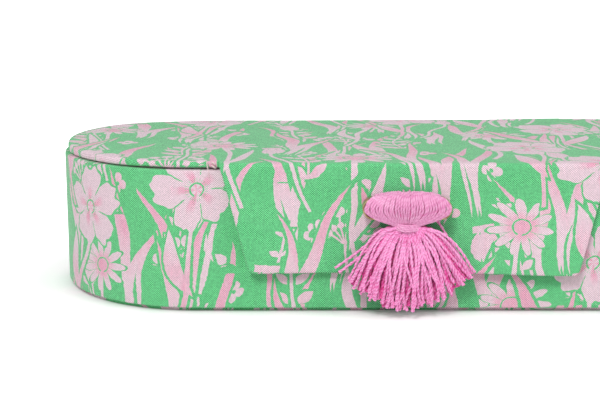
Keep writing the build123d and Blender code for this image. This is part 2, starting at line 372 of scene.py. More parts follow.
def add_thread(bm, layer, line, radius, pitch, phase, lobe, width_at, sides=8):
    """One plied thread along a line: two strands twisted together give it two lobes."""
    rings, way = [], 0
    across = None
    for index, spot in enumerate(line):
        before, after = line[max(index - 1, 0)], line[min(index + 1, len(line) - 1)]
        ahead = (after - before).normalized()
        if across is None:
            across = ahead.orthogonal().normalized()
        across = (across - ahead * across.dot(ahead)).normalized()
        beside = ahead.cross(across)
        if index:
            way += (spot - line[index - 1]).length
        size = radius * width_at(index / (len(line) - 1))
        ring = []
        for side in range(sides):
            angle = 2 * math.pi * side / sides
            twist = 1 + lobe * math.cos(2 * angle - 2 * math.pi * way / pitch + phase)
            out = across * math.cos(angle) + beside * math.sin(angle)
            ring.append(bm.verts.new((spot + out * size * twist) * MM))
        rings.append((ring, way))
    for (low, low_way), (high, high_way) in zip(rings, rings[1:]):
        for side in range(sides):
            there = (side + 1) % sides
            face = bm.faces.new((low[side], low[there], high[there], high[side]))
            spots = ((side, low_way), (side + 1, low_way),
                     (side + 1, high_way), (side, high_way))
            for loop, (turn, run) in zip(face.loops, spots):
                loop[layer].uv = (turn / sides, run)
    for ring, run in (rings[0], rings[-1]):
        face = bm.faces.new(ring)
        for loop in face.loops:
            loop[layer].uv = (0.5, run)


def threads(name, lines, finish, radius, pitch, lobe, width_at=lambda share: 1, step=0.3):
    """Many plied threads as one piece; width_at gives their relative width by share of length."""
    bm = bmesh.new()
    layer = bm.loops.layers.uv.new(THREAD_MAP)
    for points in lines:
        line = smooth_line(points, step)
        phase = random.uniform(0, 2 * math.pi)
        size = radius * random.uniform(*THREAD_SPREAD)
        add_thread(bm, layer, line, size, pitch, phase, lobe, width_at)
    return mesh_piece(bm, name, finish)


# Shader nodes

def feed(slot, value):
    """Links a field or a socket to a node's input, or sets it to a number or a colour."""
    if isinstance(value, Field):
        value = value.socket
    if isinstance(value, bpy.types.NodeSocket):
        slot.id_data.links.new(value, slot)
    elif isinstance(value, tuple):
        slot.default_value = (*value, 1)
    else:
        slot.default_value = value


def add_node(tree, kind, inputs, **settings):
    """A new node with its settings made, and its inputs fed by their numbers or names."""
    node = tree.nodes.new("ShaderNode" + kind)
    for label, value in settings.items():
        setattr(node, label, value)
    for label, value in inputs.items():
        feed(node.inputs[label], value)
    return node


def reckon(operation, *values):
    """A Math node between fields and numbers."""
    tree = next(value.tree for value in values if isinstance(value, Field))
    return Field(add_node(tree, "Math", dict(enumerate(values)), operation=operation).outputs[0])


def sign(operation, swapped=False):
    """The method behind a sign such as + or *, as a Math node."""
    def method(self, *others):
        return reckon(operation, *others, self) if swapped else reckon(operation, self, *others)
    return method


class Field:
    """A value that changes over a surface, with sums written as on paper."""

    def __init__(self, socket):
        self.socket = socket
        self.tree = socket.id_data

    __add__, __radd__ = sign("ADD"), sign("ADD", swapped=True)
    __sub__, __rsub__ = sign("SUBTRACT"), sign("SUBTRACT", swapped=True)
    __mul__, __rmul__ = sign("MULTIPLY"), sign("MULTIPLY", swapped=True)
    __truediv__ = sign("DIVIDE")
    __pow__ = sign("POWER")
    __mod__ = sign("FLOORED_MODULO")
    __abs__ = sign("ABSOLUTE")
    __floor__ = sign("FLOOR")
    __round__ = sign("ROUND")


def least(value, *others):
    """The smallest of some fields and numbers: inside every one of several shapes."""
    for other in others:
        value = reckon("MINIMUM", value, other)
    return value


def most(value, *others):
    """The largest of some fields and numbers: inside any of several shapes."""
    for other in others:
        value = reckon("MAXIMUM", value, other)
    return value


def sine(angle):
    """The sine of a field in radians."""
    return reckon("SINE", angle)


def length(x, y):
    """How far a place is from the origin."""
    return reckon("SQRT", x * x + y * y)


def ramp(value, low, high):
    """Rises smoothly from 0 at low to 1 at high."""
    node = add_node(
        value.tree, "MapRange", {"Value": value, "From Min": low, "From Max": high},
        interpolation_type="SMOOTHSTEP")
    return Field(node.outputs["Result"])


def blend_of(share, low, high):
    """Goes from low to high as share goes from 0 to 1."""
    return low + share * (high - low)


def new_group(name, inputs, outputs):
    """A node group with named sockets: its tree, the inputs' sockets and the outputs' slots."""
    tree = bpy.data.node_groups.new(name, "ShaderNodeTree")
    for label, kind in inputs.items():
        tree.interface.new_socket(label, in_out="INPUT", socket_type="NodeSocket" + kind)
    for label in outputs:
        tree.interface.new_socket(label, in_out="OUTPUT", socket_type="NodeSocketFloat")
    return tree, tree.nodes.new("NodeGroupInput").outputs, tree.nodes.new("NodeGroupOutput").inputs


def put_group(tree, made, **values):
    """Places a group with its inputs fed, and gives its outputs as fields."""
    return [Field(socket) for socket in add_node(tree, "Group", values, node_tree=made).outputs]


def split(vector):
    """The x and y of a vector socket, as fields."""
    parts = add_node(vector.id_data, "SeparateXYZ", {0: vector}).outputs
    return Field(parts[0]), Field(parts[1])


def join(x, y, z=0.0):
    """A vector socket from a field and two more fields or numbers."""
    return add_node(x.tree, "CombineXYZ", {0: x, 1: y, 2: z}).outputs[0]


def cloud(vector, scale, detail=2.0, rough=0.5):
    """A soft noise from 0 to 1."""
    node = add_node(vector.id_data, "TexNoise", {
        "Vector": vector, "Scale": scale, "Detail": detail, "Roughness": rough})
    return Field(node.outputs[0])


def chance(vector):
    """Three even random values, the same all over one whole-number place."""
    even = add_node(vector.id_data, "TexWhiteNoise", {"Vector": vector}).outputs["Color"]
    parts = add_node(vector.id_data, "SeparateColor", {0: even}).outputs
    return [Field(socket) for socket in parts[:3]]


def tint(share, low, high):
    """A colour between two, by a field."""
    mix = add_node(share.tree, "Mix", {"Factor": share, 6: low, 7: high}, data_type="RGBA")
    return mix.outputs[2]


def scaled(vector, amount):
    """A vector or colour times a field or number."""
    return add_node(
        vector.id_data, "VectorMath", {0: vector, "Scale": amount}, operation="SCALE").outputs[0]


def linear(red, green, blue):
    """A colour as it is seen, from 0 to 255, turned into the values that light takes."""
    def channel(value):
        value /= 255
        return value / 12.92 if value <= 0.04045 else ((value + 0.055) / 1.055) ** 2.4
    return channel(red), channel(green), channel(blue)


# The print: upright garden plants, one scattered layer for each kind. Lengths are in the
# print's own millimetres, before PRINT_SCALE. A plant gives how far inside it a place is,
# and how deep its pink is there; pick is its own random value.

def turned(x, y, degrees):
    """The same place in axes turned by an angle."""
    cosine, slant = math.cos(math.radians(degrees)), math.sin(math.radians(degrees))
    return x * cosine + y * slant, y * cosine - x * slant


def leaf(x, y, reach, width, bend):
    """How far inside a leaf that stands on the origin: its width swells and closes again."""
    share = y / reach
    return share * (1 - share) * (4 * width) - abs(x - share * share * bend)


def stalk(x, y, reach, width, bend):
    """How far inside a stalk that hangs down from the origin."""
    share = y / -reach
    return least(width - abs(x - share * share * bend), y * -1, y + reach)


def blossom(x, y, radius, petals, cut, soft):
    """How far inside a flower seen from the front, how near a petal's middle, and the angle."""
    angle = reckon("ARCTAN2", y, x)
    middle = abs(reckon("COSINE", angle * (petals / 2)))
    edge = (middle ** soft) * cut + (1 - cut)
    return edge * radius - length(x, y), middle, angle


def wide_flower(x, y, pick):
    """A broad flower with five notched petals, on a bent stalk with one leaf."""
    inside, middle, angle = blossom(x, y, radius=9.8, petals=5, cut=0.5, soft=0.5)
    away = length(x, y)
    frill = sine(angle * 19) * 0.3
    notch = ramp(middle, 0.9, 1.0) * 0.9
    veins = ramp(abs(sine(angle * 12.5)), 0.9, 0.99)
    vein_zone = ramp(away, 1.6, 2.6) * (1 - ramp(away, 3.2, 6.4))
    eye = abs(away - 1.5) - 0.3
    seams = most(middle * away - 0.34, 4.2 - away)
    head = least(inside + frill - notch, eye + 0.1, seams)
    stem = stalk(x, y, reach=30, width=0.55, bend=6)
    blade = leaf(*turned(x - 2.5, y + 24, -28), reach=16, width=2.0, bend=-3)
    tone = ramp(middle, 0.5, 1.0) * (1 - ramp(away, 2.0, 7.5)) + ramp(y, -6.0, -20.0) * 0.7
    return most(head, stem, blade) - veins * vein_zone * 0.9, tone


def rayed_flower(x, y, pick):
    """A flower with eleven narrow rays, on a straight stalk."""
    tall = y * 1.25
    rays = blossom(x, tall, radius=7.8, petals=11, cut=0.72, soft=0.8)[0]
    away = length(x, tall)
    ring = abs(away - 2.1) - 0.22
    stem = stalk(x, y, reach=34, width=0.55, bend=-4)
    blade = leaf(*turned(x + 1.2, y + 26, 24), reach=20, width=1.3, bend=4)
    return most(least(rays, ring), stem, blade), ramp(away, 7.0, 1.5) * 0.9


def dill_head(x, y, pick):
    """A fan of fine spokes with a round seed head on each."""
    angle = reckon("ARCTAN2", x, y)
    away = length(x, y)
    gap = 0.36
    off = (angle - round(angle / gap) * gap) * away
    fan = (1.3 - abs(angle)) * 3
    spoke = least(0.2 - abs(off), 7.6 - away, fan)
    seed = least(1.25 - length(off, away - 7.8), fan)
    small = least(0.75 - length(off, away - 4.6), fan)
    stem = stalk(x, y, reach=27, width=0.4, bend=3)
    return most(spoke, seed, small, stem), ramp(away, 9.0, 2.0) * 0.5


def willow_sprig(x, y, pick):
    """A thin stem with leaves in pairs, smaller towards its tip."""
    lean = x - y * y * 0.006
    step = 4.4
    share = y / step
    along = (share - math.floor(share)) * step
    taper = 1 - y / 44
    side = abs(lean)
    ahead, off = side * 0.84 + along * 0.54, along * 0.84 - side * 0.54
    reach = ahead / (taper * 6.4)
    pair = reach * (1 - reach) * (taper * 4.6) - abs(off)
    return least(most(pair, 0.3 - side), y, 29 - y), ramp(y, 30.0, 0.0) * 0.55


def grass(x, y, pick):
    """Three long blades from one root."""
    blades = most(
        leaf(x, y, reach=34, width=1.35, bend=9),
        leaf(x - 0.8, y, reach=26, width=1.0, bend=-7),
        leaf(x + 1.5, y, reach=20, width=0.55, bend=-2))
    return blades, ramp(y, 0.0, 26.0) * 0.9


def seed_pod(x, y, pick):
    """A swollen pod with a crown, on a stalk that leans over."""
    pod = 1 - length(x / 2.7, (y - 3.6) / 3.9)
    crown = least(2.5 - abs(x), 0.75 - abs(y - 7.6))
    rib = ramp(abs(abs(x) - 1.0), 0.22, 0.1)
    stem = stalk(x, y, reach=24, width=0.38, bend=5)
    return most(pod * 2.7 - rib * 0.6, crown, stem), ramp(y, -4.0, 6.0) * 0.45


def floret(x, y, pick):
    """A small four-petalled flower that fills the ground between."""
    inside = blossom(x, y, radius=2.5, petals=4, cut=0.6, soft=0.6)[0]
    return least(inside, length(x, y) - 0.5), pick * 0.7


def scattered(place, plant, cell, shift, seed, filled, jitter, tilt, lift):
    """One layer of a plant: a cell grid whose columns are staggered, each cell's plant
    moved, mirrored and tilted by chance. lift raises its root over the cell's middle."""
    x, y = split(place)
    column = (x + shift[0]) / cell[0]
    column_number = math.floor(column)
    stagger = reckon("FRACT", column_number * 0.381966)
    row = (y + shift[1]) / cell[1] + stagger
    row_number = math.floor(row)
    first, second, third = chance(join(column_number, row_number, seed))
    here_x = (column - column_number - 0.5) * cell[0] - (first - 0.5) * jitter[0]
    here_y = (row - row_number - 0.5) * cell[1] - (second - 0.5) * jitter[1] - lift
    here_x = here_x * reckon("SIGN", third - 0.5)
    lean = (first - second) * tilt
    inside, tone = plant(here_x - here_y * lean, here_y + here_x * lean, third)
    there = ramp(reckon("FRACT", second * 7 + third * 3), filled + 0.001, filled)
    return ramp(inside, -0.14, 0.14) * there, ramp(inside, -0.85, -0.5) * there, tone


PRINT_SCALE = 1.2
PRINT_LAYERS = (
    # plant, cell, shift, seed, share of cells filled, jitter, tilt, lift
    (floret, (14.5, 13.0), (3.0, 1.0), 9.0, 0.35, (5.0, 4.0), 0.3, 0.0),
    (grass, (23.0, 41.0), (6.0, 12.0), 5.0, 0.85, (6.0, 4.0), 0.2, -17.0),
    (grass, (22.0, 40.0), (17.0, 33.0), 8.0, 0.8, (6.0, 4.0), 0.24, -17.0),
    (willow_sprig, (26.0, 39.0), (13.0, 21.0), 4.0, 0.8, (6.0, 5.0), 0.25, -14.0),
    (dill_head, (31.0, 46.0), (2.0, 9.0), 3.0, 0.75, (9.0, 5.0), 0.25, 8.0),
    (seed_pod, (22.0, 39.0), (19.0, 26.0), 6.0, 0.9, (7.0, 6.0), 0.3, 6.0),
    (rayed_flower, (31.0, 50.0), (27.0, 17.0), 2.0, 0.9, (9.0, 6.0), 0.25, 13.0),
    (grass, (29.0, 44.0), (11.0, 3.0), 12.0, 0.75, (8.0, 5.0), 0.3, -18.0),
    (wide_flower, (36.0, 50.0), (17.0, 2.0), 1.0, 0.7, (9.0, 6.0), 0.3, 11.0),
    (wide_flower, (39.0, 54.0), (33.0, 31.0), 7.0, 0.6, (10.0, 6.0), 0.3, 12.0),
)


def flower_print():
    """The printed design: masks of where the ink is, and how deep its pink."""
    tree, given, result = new_group("flower_print", {"Place": "Vector"}, ("Ink", "Tone"))
    x, y = split(given["Place"])
    x, y = x / PRINT_SCALE, y / PRINT_SCALE
    place = join(x, y)
    ragged = cloud(place, 0.9, detail=3.0, rough=0.65) - 0.5
    ragged_too = cloud(join(y, x, 7.0), 0.9, detail=3.0, rough=0.65) - 0.5
    wander = cloud(place, 0.07, detail=0.0) - 0.5
    drawn = join(x + ragged * 0.55 + wander * 6, y + ragged_too * 0.55)
    ink, gap, tone = scattered(drawn, *PRINT_LAYERS[0])
    for layer in PRINT_LAYERS[1:]:
        over, gap, over_tone = scattered(drawn, *layer)
        ink = most(ink * (1 - gap), over)
        tone = blend_of(over, tone, over_tone)
    brush = cloud(join(x * 0.6, y * 0.14), 1.1, detail=3.0, rough=0.6)
    feed(result["Ink"], ink)
    feed(result["Tone"], ramp(tone + (brush - 0.5) * 0.9, 0.2, 1.25))
    return tree


def plain_weave():
    """Threads over and under each other: their height, and their lightness, which is
    the yarn's own slubs and specks with painted light and shade: alternate crossings
    lighter and darker, and the weave's hollows darker.
    """
    tree, given, result = new_group(
        "plain_weave", {"Place": "Vector", "Pitch": "Float"}, ("Height", "FleckAndShade"))
    x, y = split(given["Place"])
    pitch = Field(given["Pitch"])
    drift = cloud(given["Place"], 0.05, detail=1.0) * 1.2
    across, up = (x + drift) / pitch, (y + drift) / (pitch * 0.87)
    column, row = math.floor(across), math.floor(up)
    over = (column + row) % 2.0
    warp_slub = cloud(join(column * 7.3, y * 0.35), 1.0, detail=1.0)
    weft_slub = cloud(join(x * 0.35, row * 7.3), 1.0, detail=1.0)
    warp = abs(sine(across * math.pi)) * (0.7 + warp_slub * 0.6)
    weft = abs(sine(up * math.pi)) * (0.7 + weft_slub * 0.6)
    height = blend_of(over, weft * (0.55 + warp * 0.45), warp * (0.55 + weft * 0.45))
    speck = chance(join(column, row, 3.0))[0]
    slub = blend_of(over, weft_slub, warp_slub)
    feed(result["Height"], height)
    # painted shade: lower in the weave is darker, and alternate crossings are lighter and darker;
    # the slubs and specks are the yarn's own
    feed(result["FleckAndShade"],
         (over - 0.5) * 1.3 + (height - 0.6) * 0.4 + (slub - 0.5) * 0.4 + (speck - 0.5) * 0.4)
    return tree


def plied_thread():
    """Twisted strands of spun fibre: height, and a lightness from fibre and patch noise
    with painted shade in the grooves between the plies and painted light on their crowns.
    """
    tree, given, result = new_group(
        "plied_thread", {"Place": "Vector", "Pitch": "Float", "Plies": "Float"},
        ("Height", "FleckAndShade"))
    turn, run = split(given["Place"])
    uneven = cloud(join(run * 0.45, turn * 0.5, 4.0), 1.0, detail=2.0) * 1.3
    twist = (turn - run / Field(given["Pitch"]) + uneven) * Field(given["Plies"])
    ply = abs(sine(twist * math.pi))
    fibre = cloud(join(twist * 3.0 + turn * 2.0, run * 1.6), 1.6, detail=3.0, rough=0.6)
    patch = cloud(join(turn * 1.5, run * 0.35), 1.0, detail=1.0)
    feed(result["Height"], ply ** 0.6 + (fibre - 0.5) * 0.5)
    # the ply term paints the grooves darker and the plies' crowns lighter; the fibre and patch
    # noise is the thread's own
    feed(result["FleckAndShade"], (ply - 0.6) * 0.4 + (fibre - 0.5) * 1.1 + (patch - 0.5) * 0.7)
    return tree


# Materials: each function gives a finish, which is a material and the record's slot for it

GREEN = linear(107, 200, 136)
GREEN_DEEP = linear(93, 191, 126)
PINK_PALE = linear(226, 201, 211)
PINK_MID = linear(229, 157, 184)
LINING_PINK = linear(231, 208, 216)
LINING_WORN = linear(238, 219, 225)
# the pale pink of the threads' raised fibres; on the plies' crowns it is also a painted highlight
THREAD_LIGHT = linear(254, 198, 230)
BRASS = linear(214, 190, 148)
BRASS_DULL = linear(164, 130, 88)
NICKEL = linear(186, 184, 180)
NICKEL_DULL = linear(150, 148, 146)
BOARD = linear(176, 169, 156)
BOARD_DARK = linear(150, 143, 131)
WEAVE_PITCH = 0.31
LINING_PITCH = 0.42
PLY_PITCH = 1.9
COTTONS = (
    # name, slot, length of a twist, colour in the grooves (painted shade), colour of the ply, bump
    ("tassel_cotton", "tassel_thread", PLY_PITCH, (228, 88, 162), (255, 164, 220), 0.7),
    ("tassel_cotton_wound", "tassel_thread", 2.4, (218, 120, 175), (236, 162, 204), 0.4),
    ("loose_cotton", "printed_cloth", 1.0, (205, 176, 178), (232, 212, 208), 0.4),
    # a darker, redder copy of the tassel's cotton: painted shade on the strands and stuffing
    # beneath the front threads
    ("tassel_cotton_under_shaded", "tassel_thread", PLY_PITCH, (220, 56, 142), (244, 104, 184), 0.6),
    # the tassel's pink with its grooves in the darkest shade pink: painted shade where the
    # stitches sink into the head
    ("tassel_cotton_deep_shaded", "tassel_thread", PLY_PITCH, (180, 60, 120), (238, 150, 198), 0.6),
)


def new_material(name):
    """An empty material: its node tree and its main shader."""
    material = bpy.data.materials.new(name)
    material.use_nodes = True
    tree = material.node_tree
    return material, tree, tree.nodes["Principled BSDF"]


def map_place(tree, map_name):
    """The spot on the cloth or thread, in millimetres, from the map of that name."""
    return add_node(tree, "UVMap", {}, uv_map=map_name).outputs[0]


def object_place(tree):
    """The place on an object that has no map, in millimetres."""
    return scaled(add_node(tree, "TexCoord", {}).outputs["Object"], 1 / MM)


def set_shader(shader, values, height, depth, strength):
    """Feeds the shader by its sockets' names, and bumps its normal by a height from 0 to 1."""
    bump = add_node(shader.id_data, "Bump", {
        "Distance": depth * MM, "Strength": strength, "Height": height})
    for label, value in values.items():
        feed(shader.inputs[label], value)
    feed(shader.inputs["Normal"], bump.outputs[0])


def printed_cloth(weave, design):
    """Plain-woven cotton, printed in two pinks on green."""
    material, tree, shader = new_material("printed_cloth")
    place = map_place(tree, CLOTH_MAP)
    ink, tone = put_group(tree, design, Place=place)
    height, fleck_and_shade = put_group(tree, weave, Place=place, Pitch=WEAVE_PITCH)
    ground = tint(cloud(place, 0.12, detail=2.0), GREEN_DEEP, GREEN)
    pink = tint(tone, PINK_PALE, PINK_MID)
    # ink sits on the raised threads first, so where the weave's lightness and painted shade are
    # low the ground shows through
    held = ramp(ink * 1.15 + fleck_and_shade * 0.16, 0.3, 0.75)
    # the yarn's slubs and specks, and painted light and shade on alternate crossings and in the
    # hollows, scale the colour; the ink takes less of it
    lit = scaled(tint(held, ground, pink), 1.0 + fleck_and_shade * (0.68 - held * 0.27))
    set_shader(shader, {
        "Base Color": lit, "Roughness": 0.86 - fleck_and_shade * 0.1, "Specular IOR Level": 0.25,
        "Sheen Weight": 0.3, "Sheen Roughness": 0.5}, height, depth=0.05, strength=0.6)
    return material, "printed_cloth"


def lining_cotton(weave):
    """Plain pale cotton for the linings and the floor pad."""
    material, tree, shader = new_material("lining_cotton")
    place = map_place(tree, CLOTH_MAP)
    height, fleck_and_shade = put_group(tree, weave, Place=place, Pitch=LINING_PITCH)
    ground = tint(cloud(place, 0.08, detail=3.0), LINING_PINK, LINING_WORN)
    # the yarn's slubs and specks, and painted shade in the weave's hollows, scale the lining's
    # colour
    set_shader(shader, {
        "Base Color": scaled(ground, 1.0 + fleck_and_shade * 0.2), "Roughness": 0.9 - fleck_and_shade * 0.08,
        "Specular IOR Level": 0.2, "Sheen Weight": 0.15}, height, depth=0.09, strength=0.6)
    return material, "lining_cloth"


def plied_cotton(ply, name, slot, pitch, deep, main, strength):
    """Plied cotton thread: its grooves in a deeper colour, which is painted shade, and lighter
    along its raised fibres, which on the plies' crowns is also a painted highlight.
    """
    material, tree, shader = new_material(name)
    height, fleck_and_shade = put_group(
        tree, ply, Place=map_place(tree, THREAD_MAP), Pitch=pitch, Plies=2.0)
    # the grooves take the deep colour, painted shade, and the high places THREAD_LIGHT, partly a
    # painted highlight
    low = tint(ramp(fleck_and_shade, -0.4, 0.08), linear(*deep), linear(*main))
    set_shader(shader, {
        "Base Color": tint(ramp(fleck_and_shade, 0.02, 0.5), low, THREAD_LIGHT),
        "Roughness": 0.72 - fleck_and_shade * 0.12, "Specular IOR Level": 0.3,
        "Sheen Weight": 0.35, "Sheen Roughness": 0.4}, height, depth=0.16, strength=strength)
    return material, slot


def ring_brass():
    """Thin polished brass with fine turning marks and a little tarnish."""
    material, tree, shader = new_material("ring_brass")
    place = object_place(tree)
    x, y = split(place)
    marks = cloud(join(x * 0.6, y * 9.0), 1.0, detail=3.0)
    tarnish = cloud(place, 0.8, detail=3.0)
    set_shader(shader, {
        "Base Color": tint(ramp(tarnish, 0.35, 0.7), BRASS, BRASS_DULL),
        "Roughness": 0.2 + tarnish * 0.15 + marks * 0.08, "Metallic": 1.0},
        marks, depth=0.02, strength=0.3)
    return material, "ring_brass"


def magnet_nickel():
    """Nickel plate with faint tumbling marks."""
    material, tree, shader = new_material("magnet_nickel")
    marks = cloud(object_place(tree), 2.5, detail=4.0)
    set_shader(shader, {
        "Base Color": tint(marks, NICKEL, NICKEL_DULL), "Roughness": 0.22 + marks * 0.2,
        "Metallic": 1.0}, marks, depth=0.02, strength=0.2)
    return material, "magnet_plating"


def grey_board():
    """Pressed grey board with pale and dark fibres."""
    material, tree, shader = new_material("grey_board")
    place = object_place(tree)
    pulp = cloud(place, 0.5, detail=5.0, rough=0.7)
    fibre = cloud(place, 3.0, detail=3.0, rough=0.6)
    set_shader(shader, {
        "Base Color": tint(pulp, BOARD, BOARD_DARK), "Roughness": 0.88 + fibre * 0.1},
        fibre, depth=0.08, strength=0.4)
    return material, "board"


# The box

def put(piece, body, *nodes):
    """Rides a piece on its body and lets it stand for the nodes it dresses."""
    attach(piece, body)
    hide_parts(*nodes)


def eased(value, low, high):
    """Rises smoothly from 0 at low to 1 at high."""
    share = min(max((value - low) / (high - low), 0), 1)
    return share * share * (3 - 2 * share)


def wall_shape(spot, out, inset):
    """The wall's cloth, a little uneven in and out, and its rim a little low at one end."""
    dip = RIM_DIP * eased(-spot.x, RIM_DIP_FROM, RIM_DIP_TO)
    dip *= eased(spot.z, RIM - RIM_DIP_DEPTH, RIM)
    swell = noise.noise(spot * WALL_UNEVEN_SCALE) * WALL_UNEVEN
    return spot + out * swell + Vector((0, 0, -dip))


def with_wall_rows(rings):
    """Adds loops up the tall faces, so that they can be slightly uneven."""
    fuller = []
    for before, after in zip(rings, rings[1:]):
        fuller.append(before)
        count = int(abs(after[1] - before[1]) / WALL_ROW)
        for step in range(1, count):
            share = step / count
            fuller.append(tuple(a + (b - a) * share for a, b in zip(before, after)))
    fuller.append(rings[-1])
    return fuller


def build_wall(outline, cloth):
    """The wall's cloth: from under the foot, up the outside, over the rim and down inside."""
    out = [
        (WALL_TURN_UNDER, WALL_FOOT), (0, WALL_FOOT), (0, RIM), (WALL_INNER, RIM),
        (WALL_INNER, RIM - WALL_TURN_IN)]
    back = [
        (WALL_INNER - CLOTH, RIM - WALL_TURN_IN), (WALL_INNER - CLOTH, RIM - CLOTH),
        (CLOTH, RIM - CLOTH), (CLOTH, WALL_FOOT + CLOTH), (WALL_TURN_UNDER, WALL_FOOT + CLOTH)]
    rings = rounded_path(out, [WALL_FOOT_ROUND, RIM_ROUND, RIM_ROUND])
    inner = rounded_path(back, [RIM_ROUND - CLOTH] * 2 + [WALL_FOOT_ROUND - CLOTH])
    whole = rings[-1][2]
    rings += [(inset, level, whole - run) for inset, level, run in inner]
    wall = skin(
        "wall_cloth", outline, with_wall_rows(rings), wrapped_place, cloth,
        closed=True, shape=wall_shape, shift=WALL_PRINT_SHIFT)
    put(wall, "base", "wall_cover")


def build_foot(outline, cloth):
    """The foot panel: a wrapped card with both edges rounded."""
    path = [
        (HALF_DEPTH, FOOT_TOP), (FOOT_INSET, FOOT_TOP), (FOOT_INSET, 0), (HALF_DEPTH, 0)]
    foot = skin(
        "foot_cloth", outline, rounded_path(path, [FOOT_ROUND, FOOT_ROUND]), flat_place, cloth,
        shape=lambda spot, out, inset: spot + Vector(FOOT_SHIFT), shift=FOOT_PRINT_SHIFT)
    put(foot, "base", "base_panel_cover")


def lid_sag(x, y, z):
    """How far the lid's board has warped up or down, most of all along its back edge."""
    upper = eased(z, LID_LOW, LID_TOP)
    middle = -SAG * math.exp(-((x - SAG_MIDDLE) / SAG_SPREAD) ** 2)
    right = RIGHT_LIFT * eased(x, RIGHT_LIFT_FROM, RIGHT_LIFT_TO)
    left = LEFT_LIFT * eased(-x, LEFT_LIFT_FROM, LEFT_LIFT_TO)
    left *= eased(y, LEFT_LIFT_FRONT, LEFT_LIFT_BACK)
    return upper * (eased(y, LIFT_FRONT, LIFT_BACK) * (middle + right) + left)


def lid_edge_shape(spot, out, inset):
    """The lid's cloth: its board's warp, and puckers where it is pulled round the edge,
    whose lower side dips towards the round ends."""
    spot = spot + Vector((0, 0, lid_sag(*spot)))
    share = (LID_TOP - spot.z) / (LID_TOP - LID_LOW)
    if inset > EDGE_ZONE or share < EDGE_START_SHARE:
        return spot
    curved = min(max((abs(spot.x) - HALF_RUN) / PUCKER_RUN, 0), 1)
    place = Vector((spot.x, spot.y, LID_SEED)) * PUCKER_SCALE
    pucker = noise.noise(place) * PUCKER * curved
    pucker += noise.noise(place * EDGE_BULGE_SHARE) * EDGE_BULGE
    droop = END_DROOP * eased(abs(spot.x), HALF_RUN, HALF_RUN + DROOP_RUN)
    droop += TIP_DROOP * eased(-spot.x, TIP_DROOP_FROM, TIP_DROOP_TO)
    drop = noise.noise(place * EDGE_WAVER_SHARE) * EDGE_WAVER - droop
    return spot + (out * pucker + Vector((0, 0, drop))) * share


def build_lid(outline, cloth):
    """The lid's cloth: flat on top, round the edge and turned under."""
    path = [
        (HALF_DEPTH, LID_TOP), *((inset, LID_TOP) for inset in LID_LOOPS),
        (LID_INSET, LID_TOP), (LID_INSET, LID_LOW), (HALF_DEPTH, LID_LOW)]
    rounds = [0] * len(LID_LOOPS) + [LID_EDGE_ROUND, LID_UNDER_ROUND]
    lid = skin(
        "lid_cloth", outline, rounded_path(path, rounds), flat_place, cloth,
        shape=lid_edge_shape)
    put(lid, "lid", "lid_cover")


def under_place(station, around, ring):
    """The spot on the lining panel's cloth, which is laid on from its edge inwards."""
    x, y, out_x, out_y, along = station
    inset = ring[2] - HALF_DEPTH
    return x - out_x * inset, y - out_y * inset


def build_linings(outline, lining):
    """The wall's lining, and the lid's lining panel, which drops just inside the rim."""
    wall_path = [
        (LINING_INNER, LINING_LOW), (LINING_INNER, LINING_HIGH),
        (LINING_OUTER, LINING_HIGH), (LINING_OUTER, LINING_LOW)]
    wall_lining = skin(
        "wall_lining_cloth", outline, rounded_path(wall_path, LINING_ROUNDS), wrapped_place,
        lining, closed=True)
    put(wall_lining, "base", "wall_lining")
    lid_path = [
        (HALF_DEPTH, LID_LINING_HIGH), (LID_LINING_INSET, LID_LINING_HIGH),
        (LID_LINING_INSET, LID_LINING_LOW), (HALF_DEPTH, LID_LINING_LOW)]
    lid_lining = skin(
        "lid_lining_cloth", outline, rounded_path(lid_path, LID_LINING_ROUNDS), under_place,
        lining)
    put(lid_lining, "lid", "lid_lining")


def pad_shape(spot, out, inset):
    """The pad's crown, and the slight unevenness of its filling."""
    if spot.z < PAD_LOW + PAD_FLAT_FOOT:
        return spot
    inner = min(max(inset - PAD_INSET, 0) / PAD_CROWN_RUN, 1)
    crown = PAD_CROWN * math.sin(inner * math.pi / 2) - PAD_SINK
    rough = noise.noise(Vector((spot.x, spot.y, PAD_SEED)) * PAD_UNEVEN_SCALE) * PAD_UNEVEN
    return spot + Vector((0, 0, crown + rough))


def build_pad(outline, lining):
    """The thin padded cushion on the floor."""
    path = [
        (HALF_DEPTH, PAD_TOP), *((inset, PAD_TOP) for inset in PAD_LOOPS),
        (PAD_INSET, PAD_TOP), (PAD_INSET, PAD_LOW), (HALF_DEPTH, PAD_LOW)]
    rounds = [0] * len(PAD_LOOPS) + [PAD_ROUND, PAD_ROUND]
    pad = skin(
        "floor_cushion", outline, rounded_path(path, rounds), flat_place, lining,
        shape=pad_shape)
    put(pad, "base", "floor_pad")


# Flap and hinges

def cornered(half, corner, rise):
    """A panel's half width at a height above its lower end, whose corners are rounded."""
    low = max(corner - rise, 0)
    return half - corner + math.sqrt(max(corner ** 2 - low ** 2, 0))


def flap_half_width(level):
    """Half the flap's width at a level."""
    share = (level - FLAP_LOW) / (FLAP_HIGH - FLAP_LOW)
    width = FLAP_HALF_FOOT + (FLAP_HALF_TOP - FLAP_HALF_FOOT) * share
    return cornered(width, FLAP_CORNER, level - FLAP_LOW)


def edge_fall(distance, radius):
    """How far a rounded edge falls back at a distance from the edge."""
    if distance >= radius:
        return 0
    return radius - math.sqrt(radius ** 2 - (radius - distance) ** 2)


# Where the flap starts to stand forward: below its top, and from its middle to each side
WARP_START = 6
LEFT_WARP_START = 18
RIGHT_DROP_START = 5


